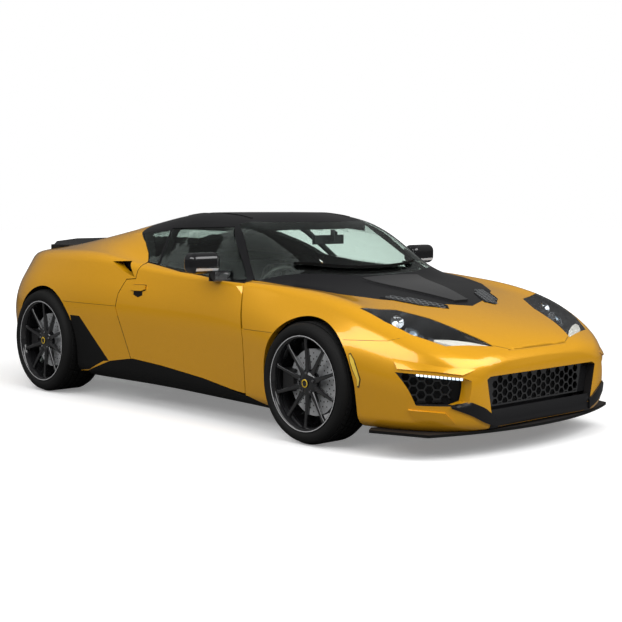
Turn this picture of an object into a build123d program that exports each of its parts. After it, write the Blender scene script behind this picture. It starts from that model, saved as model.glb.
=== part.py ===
from build123d import *

import math
import os

# Two-door mid-engined coupe. Millimetres: +X forward, +Y to the car's left, +Z up,
# ground at Z = 0 and the origin midway between the axles.

# --- Stance ---
WHEELBASE = 2575.0
FRONT_AXLE = WHEELBASE / 2
REAR_AXLE = -WHEELBASE / 2

# --- Walls and clearances ---
PANEL = 45.0            # whole depth of a body panel with its inner skin
GLASS = 6.0
SHUT = 5.0              # gap round doors and lids
WIDE = 1200.0           # beyond every side of the body
PIN_FIT = 0.05          # radial running clearance of pins and stub axles

# --- Wheels, front and rear ---
FRONT_TYRE_R = 324.2
FRONT_TYRE_W = 245.0
FRONT_RIM_R = 252.0
FRONT_WHEEL_Y = 782.0
FRONT_ARCH_R = 352.0
REAR_TYRE_R = 341.5
REAR_TYRE_W = 295.0
REAR_RIM_R = 265.0
REAR_WHEEL_Y = 787.5
REAR_ARCH_R = 368.0
RIM_WALL = 9.0
SPOKES = 10
SPOKE_W = 26.0
DISC_R = 178.0
DISC_T = 32.0
STUB_R = 30.0           # stub axle and hub bore
HUB_R = 62.0
LINER_GAP = 43.0        # arch liner beyond the arch, for the steered tyre
LINER_T = 4.0

# --- Steering ---
KINGPIN_Y = 742.0
KINGPIN_R = 12.0
KINGPIN_ARM = 112.0     # height of each arm's eye above and below the axle

# --- Right door's hinge line: x, and distance from the car's middle ---
DOOR_HINGE = (725.0, 880.0)

# --- Body sections, nose to tail. x is counted from the axle in the first column. ---
# axle, x, floor z, floor y, sill y, sill z, waist y, waist z, crest y, crest z,
# valley y, valley z, rail y, rail z, top z
STATIONS = [
    (FRONT_AXLE, 877.5, 150, 390, 450, 190, 478, 360, 445, 440, 330, 462, 180, 474, 478),
    (FRONT_AXLE, 802.5, 135, 560, 620, 175, 652, 370, 600, 505, 460, 535, 260, 550, 556),
    (FRONT_AXLE, 642.5, 130, 690, 740, 170, 780, 400, 715, 580, 570, 600, 320, 622, 632),
    (FRONT_AXLE, 362.5, 130, 780, 830, 170, 880, 480, 780, 705, 610, 700, 380, 704, 716),
    (FRONT_AXLE, -0.5, 130, 800, 860, 170, 905, 560, 760, 795, 610, 770, 400, 778, 795),
    (FRONT_AXLE, -237.5, 130, 800, 855, 175, 895, 590, 770, 812, 660, 800, 420, 825, 848),
    (FRONT_AXLE, -487.5, 130, 780, 830, 180, 877, 600, 800, 822, 730, 822, 500, 935, 983),
    (0, 450, 130, 770, 815, 190, 862, 610, 815, 828, 770, 840, 565, 1115, 1172),
    (0, 100, 130, 770, 815, 200, 858, 620, 812, 846, 765, 864, 500, 1190, 1218),
    (0, -300, 130, 780, 825, 200, 875, 640, 815, 878, 752, 900, 485, 1180, 1219),
    (0, -700, 130, 790, 850, 190, 905, 660, 830, 928, 720, 955, 480, 1110, 1168),
    (REAR_AXLE, 0.5, 140, 790, 870, 185, 925, 660, 800, 938, 650, 962, 480, 1005, 1045),
    (REAR_AXLE, -312.5, 150, 780, 850, 200, 905, 640, 740, 925, 610, 945, 450, 960, 978),
    (REAR_AXLE, -562.5, 180, 710, 770, 240, 805, 620, 620, 905, 520, 928, 400, 940, 950),
    (REAR_AXLE, -762.5, 220, 560, 600, 280, 630, 600, 500, 895, 420, 910, 300, 925, 930),
    (REAR_AXLE, -862.5, 260, 420, 450, 310, 470, 590, 380, 890, 300, 900, 200, 912, 915),
]
TOP_ROUND = 0.5         # share of the shorter side that each corner's arc takes
RAIL_ROUND = 0.32
SIDE_ROUND = 0.45


def inset_polygon(points, inset):
    """Move every side of a closed clockwise outline inwards by the same distance."""
    moved = []
    count = len(points)
    for index in range(count):
        before, here, after = points[index - 1], points[index], points[(index + 1) % count]
        way_in = (here - before).normalized()
        way_out = (after - here).normalized()
        normal_in = Vector(way_in.Y, -way_in.X)
        normal_out = Vector(way_out.Y, -way_out.X)
        middle = (normal_in + normal_out).normalized()
        moved.append(here + middle * (inset / middle.dot(normal_in)))
    return moved


def body_form(inset):
    """The closed outer form of the body, with every face moved inwards by inset."""
    shares = [TOP_ROUND, RAIL_ROUND] + 5 * [SIDE_ROUND]
    shares = shares + shares[:0:-1]
    reach = FRONT_AXLE + STATIONS[0][1]
    with BuildPart() as form:
        for row in STATIONS:
            axle, ahead, floor_z, floor_y, sill_y, sill_z, waist_y, waist_z = row[:8]
            crest_y, crest_z, valley_y, valley_z, rail_y, rail_z, top_z = row[8:]
            half = [(rail_y, rail_z), (valley_y, valley_z), (crest_y, crest_z)]
            half += [(waist_y, waist_z), (sill_y, sill_z), (floor_y, floor_z)]
            outline = [Vector(0, top_z)] + [Vector(y, z) for y, z in half]
            outline += [Vector(-y, z) for y, z in reversed(half)]
            outline = inset_polygon(outline, inset)
            radii = []
            for index, share in enumerate(shares):
                back = outline[index - 1] - outline[index]
                on = outline[(index + 1) % len(outline)] - outline[index]
                turn = 180 - back.get_angle(on)
                shorter = min(back.length, on.length)
                radii.append(share * shorter / math.tan(math.radians(turn / 2)))
            place = (axle + ahead) * (1 - inset / reach)
            with BuildSketch(Plane.YZ.offset(place)):
                with BuildLine():
                    FilletPolyline(*outline, radius=radii, close=True)
                make_face()
        loft()
    return form.part




def zone(form, rear_x, front_x):
    """The right half of a form between two stations."""
    with BuildPart() as block:
        with BuildSketch(Plane.XZ):
            Polygon((rear_x, 0), (front_x, 0), (front_x, WIDE), (rear_x, WIDE), align=None)
        extrude(amount=WIDE)
        add(form, mode=Mode.INTERSECT)
    return block.part


def hollow(solid, core):
    """A solid less its core."""
    with BuildPart() as wall:
        add(solid)
        add(core, mode=Mode.SUBTRACT)
    return wall.part


def side_block(outline, gap=0.0):
    """A block reaching from the middle to the right, with the outline seen from the side."""
    with BuildPart() as block:
        with BuildSketch(Plane.XZ):
            Polygon(*outline, align=None)
            if gap:
                offset(amount=gap, kind=Kind.INTERSECTION)
        extrude(amount=WIDE)
    return block.part


def top_block(outline, low, gap=0.0):
    """A block from a height upwards with the outline seen from above."""
    with BuildPart() as block:
        with BuildSketch(Plane.XY.offset(low)):
            Polygon(*outline, align=None)
            if gap:
                offset(amount=gap, kind=Kind.INTERSECTION)
        extrude(amount=2 * WIDE)
    return block.part


def front_block(outline, rear_x, front_x, gap=0.0):
    """A block between two stations with the outline seen from the front."""
    with BuildPart() as block:
        with BuildSketch(Plane.YZ.offset(rear_x)):
            Polygon(*outline, align=None)
            if gap:
                offset(amount=gap, kind=Kind.INTERSECTION)
        extrude(amount=front_x - rear_x)
    return block.part


def arch_block(axle, radius, height, low_front, low_rear, inset=0.0):
    """A wheel opening: a circle round the axle that drops straight to the ground."""
    with BuildPart() as block:
        with BuildSketch(Plane.XZ):
            with Locations((axle, height)):
                Circle(radius)
            Polygon(
                (axle - radius, height),
                (axle + radius, height),
                (axle + low_front, 0),
                (axle - low_rear, 0),
                align=None,
            )
        extrude(amount=WIDE)
        with BuildSketch(Plane.XZ.offset(inset)):
            Rectangle(4 * WIDE, 4 * WIDE)
        extrude(amount=WIDE, mode=Mode.INTERSECT)
    return block.part


def box(low, high, mode=Mode.ADD):
    """A block between two opposite corners."""
    middle = [(a + b) / 2 for a, b in zip(low, high)]
    size = [b - a for a, b in zip(low, high)]
    with Locations(tuple(middle)):
        Box(*size, mode=mode)


def finish(part, name):
    """Name a finished piece and write it."""
    part.label = name
    export_step(part, "parts/" + name + ".step")


def both_sides(part, name):
    """Write a right-hand piece together with its left-hand twin."""
    with BuildPart() as pair:
        add(part)
        mirror(about=Plane.XZ)
    finish(pair.part, name)


def left_and_right(part, name):
    """Write a right-hand piece and its left-hand twin as two pieces."""
    finish(part, "right_" + name)
    with BuildPart() as twin:
        mirror(part, about=Plane.XZ)
    finish(twin.part, "left_" + name)


os.makedirs("parts", exist_ok=True)

# --- The outer form, its glass layer and its inner wall, in three zones ---
FRONT_ZONE = (690.0, 2400.0)
CABIN_ZONE = (-700.0, 1100.0)
REAR_ZONE = (-2400.0, -240.0)
outer_form = body_form(0)
glass_form = body_form(GLASS)
inner_form = body_form(PANEL)
front_outer = zone(outer_form, *FRONT_ZONE)
front_inner = zone(inner_form, *FRONT_ZONE)
front_glass = zone(glass_form, *FRONT_ZONE)
front_shell = hollow(front_outer, front_inner)
cabin_outer = zone(outer_form, *CABIN_ZONE)
cabin_inner = zone(inner_form, *CABIN_ZONE)
cabin_glass = zone(glass_form, *CABIN_ZONE)
cabin_shell = hollow(cabin_outer, cabin_inner)
cabin_skin = hollow(cabin_outer, cabin_glass)
rear_outer = zone(outer_form, *REAR_ZONE)
rear_inner = zone(inner_form, *REAR_ZONE)
rear_glass = zone(glass_form, *REAR_ZONE)
rear_shell = hollow(rear_outer, rear_inner)
rear_skin = hollow(rear_outer, rear_glass)

# --- Lines that neighbouring panels share, seen from the side unless named top ---
BELT = [(700, 817), (520, 823), (290, 843), (90, 855), (-136, 880), (-275, 895)]
SKIRT_TOP = [(965, 150), (735, 192), (322, 250), (-81, 285), (-345, 300), (-576, 266)]
SKIRT_TOP += [(-844, 176)]
DOOR_REAR = [(-298, 840), (-302, 796), (-388, 789), (-446, 699), (-465, 617), (-436, 533)]
DOOR_REAR += [(-403, 433), (-360, 299)]
DOOR_FRONT = [(735, 192), (757, 516)]
WING_SEAM_Z = 571.0
DECK_Z = 440.0           # blocks seen from above start here, clear of the underside
QUARTER_SEAM_Z = 622.0
BUMPER_SEAM = [(1500, 572), (1819, 585), (1867, 609), (2007, 567), (2093, 543), (2127, 522)]
QUARTER_EDGE = [(-354, 953), (-466, 1011), (-610, 1063)]
SCREEN_SIDE = [(735, 745), (322, 527)]
SCREEN_BASE_X = 1030.0
HEADER_X = 480.0
ROOF_SIDE = 510.0
ROOF_REAR_X = -640.0
TAILGATE_SIDE = [(-648, 470), (-1300, 520), (-2000, 560)]
DOOR_INNER_Y = 735.0
DOOR_STEP = 25.0
HEADLAMP = [(1555, -740), (1608, -532), (1762, -437), (1954, -380), (2093, -321)]
HEADLAMP += [(2007, -590), (1867, -690), (1723, -732)]
DOOR_GLASS = [(660, 828), (315, 1118), (-286, 1100), (-160, 885)]
QUARTER_GLASS = [(-183, 888), (-300, 1092), (-600, 1066), (-466, 1011), (-354, 953), (-283, 898)]
INTAKE = [(-566, 896), (-408, 903), (-315, 806), (-432, 838)]
INSERT = [(-955, 536), (-854, 536), (-820, 502), (-590, 264), (-648, 258), (-811, 190), (-950, 170)]

front_arch = arch_block(FRONT_AXLE, FRONT_ARCH_R, FRONT_TYRE_R, 348, 318)
rear_arch = arch_block(REAR_AXLE, REAR_ARCH_R, REAR_TYRE_R, 340, 368)
door_outline = DOOR_FRONT + BELT + DOOR_REAR + SKIRT_TOP[4:0:-1]

# The screen and roof lines seen from above.
with BuildPart() as screen_block:
    with BuildSketch(Plane.XY.offset(DECK_Z)):
        with BuildLine():
            base = ThreePointArc(
                (SCREEN_SIDE[0][0], SCREEN_SIDE[0][1]),
                (SCREEN_BASE_X, 0),
                (SCREEN_SIDE[0][0], -SCREEN_SIDE[0][1]),
            )
            header = ThreePointArc(
                (SCREEN_SIDE[1][0], SCREEN_SIDE[1][1]),
                (HEADER_X, 0),
                (SCREEN_SIDE[1][0], -SCREEN_SIDE[1][1]),
            )
            Line(base @ 0, header @ 0)
            Line(base @ 1, header @ 1)
        make_face()
    extrude(amount=2 * WIDE)

# --- Front clam: both wings and the nose top, one moulding ---
BONNET_PANEL = [(733, -743), (1013, -690), (1250, -600), (1431, -464), (1584, -235), (1680, 0)]
clam_lines = [(757 + SHUT, WING_SEAM_Z)] + BUMPER_SEAM + [(2300, 520), (2300, WIDE)]
clam_lines += [(705, WIDE), (705, 817)]
bonnet_block = hollow(top_block(BONNET_PANEL + [(720, 0)], DECK_Z), screen_block.part)
with BuildPart() as front_clam:
    add(side_block(clam_lines))
    add(top_block([(705, -745), (705, -WIDE), (2300, -WIDE), (2300, 0), (737, 0), (737, -745)], 0),
        mode=Mode.INTERSECT)
    add(screen_block.part, mode=Mode.SUBTRACT)
    add(bonnet_block, mode=Mode.SUBTRACT)
    add(front_arch, mode=Mode.SUBTRACT)
    add(top_block(HEADLAMP, DECK_Z), mode=Mode.SUBTRACT)
    add(front_shell, mode=Mode.INTERSECT)
both_sides(front_clam.part, "front_clam")

# --- Black access panel between the wings ---
with BuildPart() as bonnet_panel:
    add(bonnet_block)
    add(front_shell, mode=Mode.INTERSECT)
both_sides(bonnet_panel.part, "bonnet_panel")

# --- Front bumper with its grille openings ---
GRILLE = [(0, 408), (430, 408), (455, 395), (415, 205), (390, 192), (0, 186)]
SIDE_GRILLE = [(-800, 435), (-590, 412), (-548, 395), (-560, 290), (-600, 272), (-745, 272)]
bumper_lines = BUMPER_SEAM + [(2300, 520), (2300, 137), (1500, 137)]
with BuildPart() as front_bumper:
    add(side_block(bumper_lines))
    add(front_arch, mode=Mode.SUBTRACT)
    add(top_block(HEADLAMP, DECK_Z), mode=Mode.SUBTRACT)
    add(front_block([(-y, z) for y, z in GRILLE], 2000, 2300), mode=Mode.SUBTRACT)
    add(front_block(SIDE_GRILLE, 1800, 2300), mode=Mode.SUBTRACT)
    add(front_shell, mode=Mode.INTERSECT)
both_sides(front_bumper.part, "front_bumper")

# --- Splitter: a thin lip under the bumper ---
SPLITTER_Z = 122.0
SPLITTER_T = 15.0
with BuildPart() as front_splitter:
    with BuildSketch(Plane.XY.offset(SPLITTER_Z)):
        with BuildLine():
            tip = ThreePointArc((2043, -750), (2197, 0), (2043, 750))
            Line(tip @ 1, (1743, 860))
            Line((1743, 860), (1700, 800))
            back = ThreePointArc((1700, 800), (1950, 0), (1700, -800))
            Line((1700, -800), (1743, -860))
            Line((1743, -860), tip @ 0)
        make_face()
    extrude(amount=SPLITTER_T)
finish(front_splitter.part, "front_splitter")

# --- Grille meshes, set back in their openings ---
MESH_T = 10.0
MESH_BAR = 8.0
MESH_CELL = 46.0
GRILLE_X = 2120.0
MESH_FOOT = 246.0       # the slot below it lets the tow eye through
MESH_FOOT_HALF = 421.0
with BuildPart() as main_grille:
    with BuildSketch(Plane.YZ.offset(GRILLE_X)):
        with BuildLine():
            Polyline(*GRILLE, *[(-y, z) for y, z in reversed(GRILLE[1:-1])], close=True)
        make_face()
        with Locations((0, 297)):
            with HexLocations(MESH_CELL / 2, 18, 4):
                RegularPolygon((MESH_CELL - MESH_BAR) / 2, 6, major_radius=False, mode=Mode.SUBTRACT)
        with Locations((0, MESH_FOOT / 2)):
            Rectangle(2 * WIDE, MESH_FOOT, mode=Mode.SUBTRACT)
        with Locations((0, MESH_FOOT + MESH_BAR / 2)):
            Rectangle(2 * MESH_FOOT_HALF, MESH_BAR)
    extrude(amount=-MESH_T)
finish(main_grille.part, "main_grille")

SIDE_MESH = Plane((1985, -672, 350), x_dir=(-0.62, -0.785, 0), z_dir=(0.785, -0.62, 0))
with BuildPart() as side_grille:
    with BuildSketch(SIDE_MESH.offset(-45)):
        Rectangle(420, 230)
        with HexLocations(MESH_CELL / 2, 7, 3):
            RegularPolygon((MESH_CELL - MESH_BAR) / 2, 6, major_radius=False, mode=Mode.SUBTRACT)
    extrude(amount=-MESH_T)
    add(front_block(SIDE_GRILLE, 1700, 2300), mode=Mode.INTERSECT)
both_sides(side_grille.part, "side_grilles")

# --- Headlamps: a clear cover over a bowl with its projector ---
LAMP_WALL = 4.0
bowl_floor = [(1500, 650), (2120, 455), (2120, WIDE), (1500, WIDE)]
with BuildPart() as lamp_lens:
    add(top_block(HEADLAMP, DECK_Z))
    add(front_outer, mode=Mode.INTERSECT)
    add(front_glass, mode=Mode.SUBTRACT)
both_sides(lamp_lens.part, "headlamp_lenses")
with BuildPart() as lamp_bowl:
    add(top_block(HEADLAMP, DECK_Z))
    add(side_block(bowl_floor), mode=Mode.INTERSECT)
    with BuildPart(mode=Mode.SUBTRACT):
        add(top_block(HEADLAMP, DECK_Z, -LAMP_WALL))
        add(side_block([(x, z + LAMP_WALL) for x, z in bowl_floor]), mode=Mode.INTERSECT)
    add(front_glass, mode=Mode.INTERSECT)
both_sides(lamp_bowl.part, "headlamp_units")

# --- Windscreen and roof ---
with BuildPart() as windscreen:
    add(screen_block.part)
    add(cabin_skin, mode=Mode.INTERSECT)
both_sides(windscreen.part, "windscreen")

roof_edge = [(SCREEN_SIDE[1][0], 0), (SCREEN_SIDE[1][0], -SCREEN_SIDE[1][1]), (100, -ROOF_SIDE)]
roof_edge += [(ROOF_REAR_X, -ROOF_SIDE + 25), (ROOF_REAR_X, 0)]
with BuildPart() as roof_block:
    add(top_block(roof_edge, 1000))
    add(top_block([(500, 0), (500, -WIDE), (300, -WIDE), (300, 0)], 1000))
    add(screen_block.part, mode=Mode.SUBTRACT)
    add(top_block([(1200, 0), (1200, -WIDE), (HEADER_X, -WIDE), (HEADER_X, 0)], 1000), mode=Mode.SUBTRACT)
    add(top_block([(600, -527), (600, -WIDE), (200, -WIDE), (200, -527)], 1000), mode=Mode.SUBTRACT)
with BuildPart() as roof_panel:
    add(roof_block.part)
    add(cabin_shell, mode=Mode.INTERSECT)
both_sides(roof_panel.part, "roof_panel")

# --- Cabin frame: pillars, header rail and cant rails, with the side windows cut out ---
belt_gap = [(x, z + SHUT) for x, z in BELT]
frame_lines = [(705, 822)] + belt_gap + QUARTER_EDGE + [(ROOF_REAR_X, 1075), (ROOF_REAR_X, 1300)]
frame_lines += [(705, 1300)]
door_glass_lines = DOOR_GLASS + BELT[4:0:-1]
with BuildPart() as cabin_frame:
    add(side_block(frame_lines))
    add(screen_block.part, mode=Mode.SUBTRACT)
    add(roof_block.part, mode=Mode.SUBTRACT)
    add(side_block(door_glass_lines, SHUT), mode=Mode.SUBTRACT)
    add(side_block(QUARTER_GLASS), mode=Mode.SUBTRACT)
    add(cabin_shell, mode=Mode.INTERSECT)
both_sides(cabin_frame.part, "cabin_frame")

with BuildPart() as quarter_window:
    add(side_block(QUARTER_GLASS))
    add(cabin_skin, mode=Mode.INTERSECT)
both_sides(quarter_window.part, "quarter_windows")

# --- Doors: the whole depth of each, with frameless glass and a mirror ---
DOOR_BANDS = [(DOOR_INNER_Y, 765.0), (765.0, 800.0), (800.0, WIDE)]


def sill_relief(near, far):
    """What the door's foot gives up, in one band of depth, to swing over the rising skirt."""
    front, rear = SKIRT_TOP[1], SKIRT_TOP[2]
    slope = (rear[1] - front[1]) / (front[0] - rear[0])
    depth = DOOR_HINGE[1] - near
    foot = []
    for step in range(9):
        x = front[0] + 40 - (front[0] + 40 - rear[0]) * step / 8
        behind = DOOR_HINGE[0] - x
        foot.append((x, front[1] + slope * (front[0] - x + math.hypot(behind, depth) - behind)))
    with BuildPart() as relief:
        with BuildSketch(Plane.XZ.offset(near - SHUT if near == DOOR_INNER_Y else near)):
            Polygon(*foot, (rear[0], 0), (front[0] + 40, 0), align=None)
        extrude(amount=far - near + SHUT)
    return relief.part


with BuildPart() as door:
    add(side_block(door_outline))
    with BuildSketch(Plane.XY):
        Polygon(
            (900, -WIDE),
            (-600, -WIDE),
            (-600, -DOOR_INNER_Y - 2 * DOOR_STEP),
            (DOOR_REAR[2][0] + DOOR_STEP, -DOOR_INNER_Y - 2 * DOOR_STEP),
            (DOOR_REAR[2][0] + DOOR_STEP, -DOOR_INNER_Y),
            (900, -DOOR_INNER_Y),
            align=None,
        )
    extrude(amount=2 * WIDE, mode=Mode.INTERSECT)
    for band_near, band_far in DOOR_BANDS:
        add(sill_relief(band_near, band_far), mode=Mode.SUBTRACT)
    add(cabin_outer, mode=Mode.INTERSECT)
left_and_right(door.part, "door")

with BuildPart() as door_glass:
    add(side_block(door_glass_lines))
    add(cabin_skin, mode=Mode.INTERSECT)
left_and_right(door_glass.part, "door_glass")

MIRROR = (455.0, -905.0, 925.0)
MIRROR_SIZE = (110.0, 210.0, 120.0)
with BuildPart() as mirror_housing:
    with Locations(MIRROR):
        Box(*MIRROR_SIZE)
    fillet(mirror_housing.edges(), radius=40)
    with Locations((MIRROR[0] + 30, -800, 850)):
        Box(60, 120, 60)
    add(cabin_outer, mode=Mode.SUBTRACT)
left_and_right(mirror_housing.part, "door_mirror")

# --- Sides below and behind the doors ---
door_gap = side_block(door_outline, SHUT)
wing_lines = [(757, 192), (965, 150), (1080, 150), (1080, WING_SEAM_Z), (740, WING_SEAM_Z), (740, 192)]
quarter_lines = [(-446, QUARTER_SEAM_Z)] + DOOR_REAR[4:] + SKIRT_TOP[5:]
quarter_lines += [(-1090, 150), (-1090, QUARTER_SEAM_Z)]
SKIRT_INNER_Y = 728.0
outside_tub = top_block(
    [(-1200, -SKIRT_INNER_Y), (1200, -SKIRT_INNER_Y), (1200, -WIDE), (-1200, -WIDE)], 0)
with BuildPart() as lower_wing:
    add(side_block(wing_lines))
    add(front_arch, mode=Mode.SUBTRACT)
    add(door_gap, mode=Mode.SUBTRACT)
    add(front_shell, mode=Mode.INTERSECT)
with BuildPart() as lower_quarter:
    add(side_block(quarter_lines))
    add(rear_arch, mode=Mode.SUBTRACT)
    add(door_gap, mode=Mode.SUBTRACT)
    add(side_block(INSERT), mode=Mode.SUBTRACT)
    add(rear_shell, mode=Mode.INTERSECT)
with BuildPart() as side_panel:
    add(lower_wing.part)
    add(lower_quarter.part)
    add(outside_tub, mode=Mode.INTERSECT)
both_sides(side_panel.part, "side_panels")

with BuildPart() as side_insert:
    add(side_block(INSERT))
    add(rear_arch, mode=Mode.SUBTRACT)
    add(outside_tub, mode=Mode.INTERSECT)
    add(rear_shell, mode=Mode.INTERSECT)
both_sides(side_insert.part, "side_inserts")

# --- Skirts along the sills ---
skirt_bottom = [(-844, 150), (-753, 150), (-57, 150), (700, 133), (965, 133)]
with BuildPart() as side_skirt:
    add(side_block(SKIRT_TOP + skirt_bottom))
    add(door_gap, mode=Mode.SUBTRACT)
    add(outside_tub, mode=Mode.INTERSECT)
    add(outer_form, mode=Mode.INTERSECT)
both_sides(side_skirt.part, "side_skirts")

# --- Rear clam: quarters, shoulders and the deck beside the lid ---
clam_rear_lines = [(-287, 900)] + QUARTER_EDGE + [(ROOF_REAR_X, 1075), (ROOF_REAR_X, 1300)]
clam_rear_lines += [(-2300, 1300), (-2300, QUARTER_SEAM_Z), (-446, QUARTER_SEAM_Z), (-300, 800)]
lid_top = [(-648, 0)] + [(x, -y) for x, y in TAILGATE_SIDE] + [(-2022, -560), (-2022, 0)]
TAIL_PANEL = [(-660, 660), (0, 660), (0, 820), (-660, 820)]
LAMP_Z = 740.0
LAMPS = [(-395, 66), (-535, 44)]
with BuildPart() as rear_clam:
    add(side_block(clam_rear_lines))
    add(door_gap, mode=Mode.SUBTRACT)
    add(rear_arch, mode=Mode.SUBTRACT)
    add(side_block(INTAKE), mode=Mode.SUBTRACT)
    add(top_block(lid_top, DECK_Z, SHUT), mode=Mode.SUBTRACT)
    add(roof_block.part, mode=Mode.SUBTRACT)
    add(front_block(TAIL_PANEL, -2300, -2030), mode=Mode.SUBTRACT)
    add(rear_shell, mode=Mode.INTERSECT)
both_sides(rear_clam.part, "rear_clam")

with BuildPart() as tail_panel:
    add(front_block(TAIL_PANEL, -2300, -2030))
    with BuildSketch(Plane.YZ.offset(-2300)):
        for lamp_y, lamp_r in LAMPS:
            with Locations((lamp_y, LAMP_Z)):
                Circle(lamp_r)
    extrude(amount=WIDE, mode=Mode.SUBTRACT)
    add(rear_shell, mode=Mode.INTERSECT)
both_sides(tail_panel.part, "tail_panel")

with BuildPart() as tail_lamp:
    with BuildSketch(Plane.YZ.offset(-2300)):
        for lamp_y, lamp_r in LAMPS:
            with Locations((lamp_y, LAMP_Z)):
                Circle(lamp_r)
    extrude(amount=270)
    add(rear_shell, mode=Mode.INTERSECT)
both_sides(tail_lamp.part, "tail_lamps")

with BuildPart() as intake_duct:
    add(side_block(INTAKE))
    with BuildSketch(Plane.XY):
        Polygon((-700, -700), (-200, -700), (-200, -760), (-700, -760), align=None)
    extrude(amount=2 * WIDE, mode=Mode.INTERSECT)
both_sides(intake_duct.part, "side_intakes")

# --- Rear bumper and diffuser ---
DIFFUSER_Y = 600.0
DIFFUSER_Z = 330.0
PIPE_R = 48.0
PIPE_Y = 58.0
PIPE_Z = 278.0
PIPE_LONG = 260.0
PIPE_CLEAR = 4.0        # round the tail pipes
TAIL_END = -2197.0
DIFFUSER_FINS = (125.0, 260.0, 410.0, 560.0)
rear_bumper_lines = [(-1500, 200), (-1500, QUARTER_SEAM_Z), (-2300, QUARTER_SEAM_Z), (-2300, 200)]
with BuildPart() as rear_bumper:
    add(side_block(rear_bumper_lines))
    add(rear_arch, mode=Mode.SUBTRACT)
    add(front_block([(-DIFFUSER_Y, 0), (0, 0), (0, DIFFUSER_Z), (-DIFFUSER_Y, DIFFUSER_Z)], -2300, -1480),
        mode=Mode.SUBTRACT)
    add(rear_shell, mode=Mode.INTERSECT)
both_sides(rear_bumper.part, "rear_bumper")

with BuildPart() as diffuser:
    with BuildSketch(Plane.XZ):
        Polygon((-1700, 150), (-2130, 250), (-2130, DIFFUSER_Z), (-2110, DIFFUSER_Z), (-2110, 268), (-1700, 168),
                align=None)
    extrude(amount=DIFFUSER_Y)
    for fin_y in DIFFUSER_FINS:
        with BuildSketch(Plane.XZ.offset(fin_y)):
            Polygon((-1800, 120), (-2120, 160), (-2120, 260), (-1800, 185), align=None)
        extrude(amount=8)
    with BuildSketch(Plane.YZ.offset(TAIL_END - PIPE_CLEAR)):
        with Locations((-PIPE_Y, PIPE_Z)):
            Circle(PIPE_R + PIPE_CLEAR)
        with Locations((-PIPE_Y / 2, PIPE_Z)):
            Rectangle(PIPE_Y, 2 * (PIPE_R + PIPE_CLEAR))
    extrude(amount=PIPE_LONG + 2 * PIPE_CLEAR, mode=Mode.SUBTRACT)
both_sides(diffuser.part, "diffuser")

# --- Tailgate with its window and lip ---
WINDOW_TOP = [(-700, 0), (-700, -400), (-1330, -440), (-1330, 0)]
with BuildPart() as tailgate:
    add(top_block(lid_top, 700))
    add(top_block(WINDOW_TOP, 700), mode=Mode.SUBTRACT)
    add(rear_shell, mode=Mode.INTERSECT)
both_sides(tailgate.part, "tailgate")

with BuildPart() as rear_window:
    add(top_block(WINDOW_TOP, 700))
    add(rear_skin, mode=Mode.INTERSECT)
both_sides(rear_window.part, "rear_window")

with BuildPart() as tail_spoiler:
    with BuildSketch(Plane.XZ):
        Polygon((-1560, 900), (-2040, 900), (-2110, 985), (-2095, 992), (-1900, 962), (-1560, 968), align=None)
    extrude(amount=555)
    add(rear_outer, mode=Mode.SUBTRACT)
both_sides(tail_spoiler.part, "tail_spoiler")

# --- Floor tub: sills, bulkheads and floor in one ---
TUB = dict(rear=-620.0, front=860.0, half=SKIRT_INNER_Y, low=135.0)
SILL_TOP = 400.0
SILL_INNER_Y = 590.0
BULKHEAD_T = 45.0
FLOOR_T = 30.0
SCUTTLE_Z = 770.0
REAR_BULKHEAD_Z = 860.0
with BuildPart() as floor_tub:
    with BuildSketch(Plane.XZ):
        Polygon(
            (TUB["rear"], TUB["low"]),
            (TUB["front"], TUB["low"]),
            (TUB["front"], SCUTTLE_Z),
            (TUB["front"] - 100, SCUTTLE_Z),
            (TUB["front"] - 110, SILL_TOP),
            (TUB["rear"] + 120, SILL_TOP),
            (TUB["rear"] + 90, REAR_BULKHEAD_Z),
            (TUB["rear"], REAR_BULKHEAD_Z),
            align=None,
        )
    extrude(amount=TUB["half"], both=True)
    cabin_low = TUB["low"] + FLOOR_T
    box((TUB["rear"] + BULKHEAD_T, -SILL_INNER_Y, cabin_low), (TUB["front"] - BULKHEAD_T, SILL_INNER_Y, 1000),
        mode=Mode.SUBTRACT)
finish(floor_tub.part, "floor_tub")

# --- Subframes: front crash structure and engine cradle ---
FRAME_HALF = 400.0
FRAME_RAIL = 70.0
FRAME_Z = (180.0, 270.0)
POST_NEAR = 50.0
POST_FAR = 110.0
POST_TOP = 520.0
TOW_HOLE_R = 8.0
TOW_HOLE_DEEP = 50.0
TOW_Y = 220.0
TOW_Z = 225.0
FRAME_ENDS = (1900.0, -1690.0)
with BuildPart() as subframes:
    for low_x, high_x, axle in (
        (TUB["front"], FRAME_ENDS[0], FRONT_AXLE),
        (FRAME_ENDS[1], TUB["rear"], REAR_AXLE),
    ):
        for side in (-1, 1):
            edge = side * FRAME_HALF
            rail = edge - side * FRAME_RAIL
            near, far = min(edge, rail), max(edge, rail)
            box((low_x, near, FRAME_Z[0]), (high_x, far, FRAME_Z[1]))
            for post in (-POST_FAR, POST_NEAR):
                box((axle + post, near, FRAME_Z[1]), (axle + post + POST_FAR - POST_NEAR, far, POST_TOP))
        for cross in (low_x + 90, high_x - 60):
            box((cross - 30, -FRAME_HALF + FRAME_RAIL, FRAME_Z[0]), (cross + 30, FRAME_HALF - FRAME_RAIL, 230))
    for end in FRAME_ENDS:
        ahead = math.copysign(1, end)
        box((min(end, end - ahead * 60), -FRAME_HALF, FRAME_Z[0]), (max(end, end - ahead * 60), FRAME_HALF, FRAME_Z[1]))
        with BuildSketch(Plane((end, -TOW_Y, TOW_Z), x_dir=(0, 1, 0), z_dir=(ahead, 0, 0))):
            Circle(TOW_HOLE_R)
        extrude(amount=-TOW_HOLE_DEEP, mode=Mode.SUBTRACT)
finish(subframes.part, "subframes")

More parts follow.
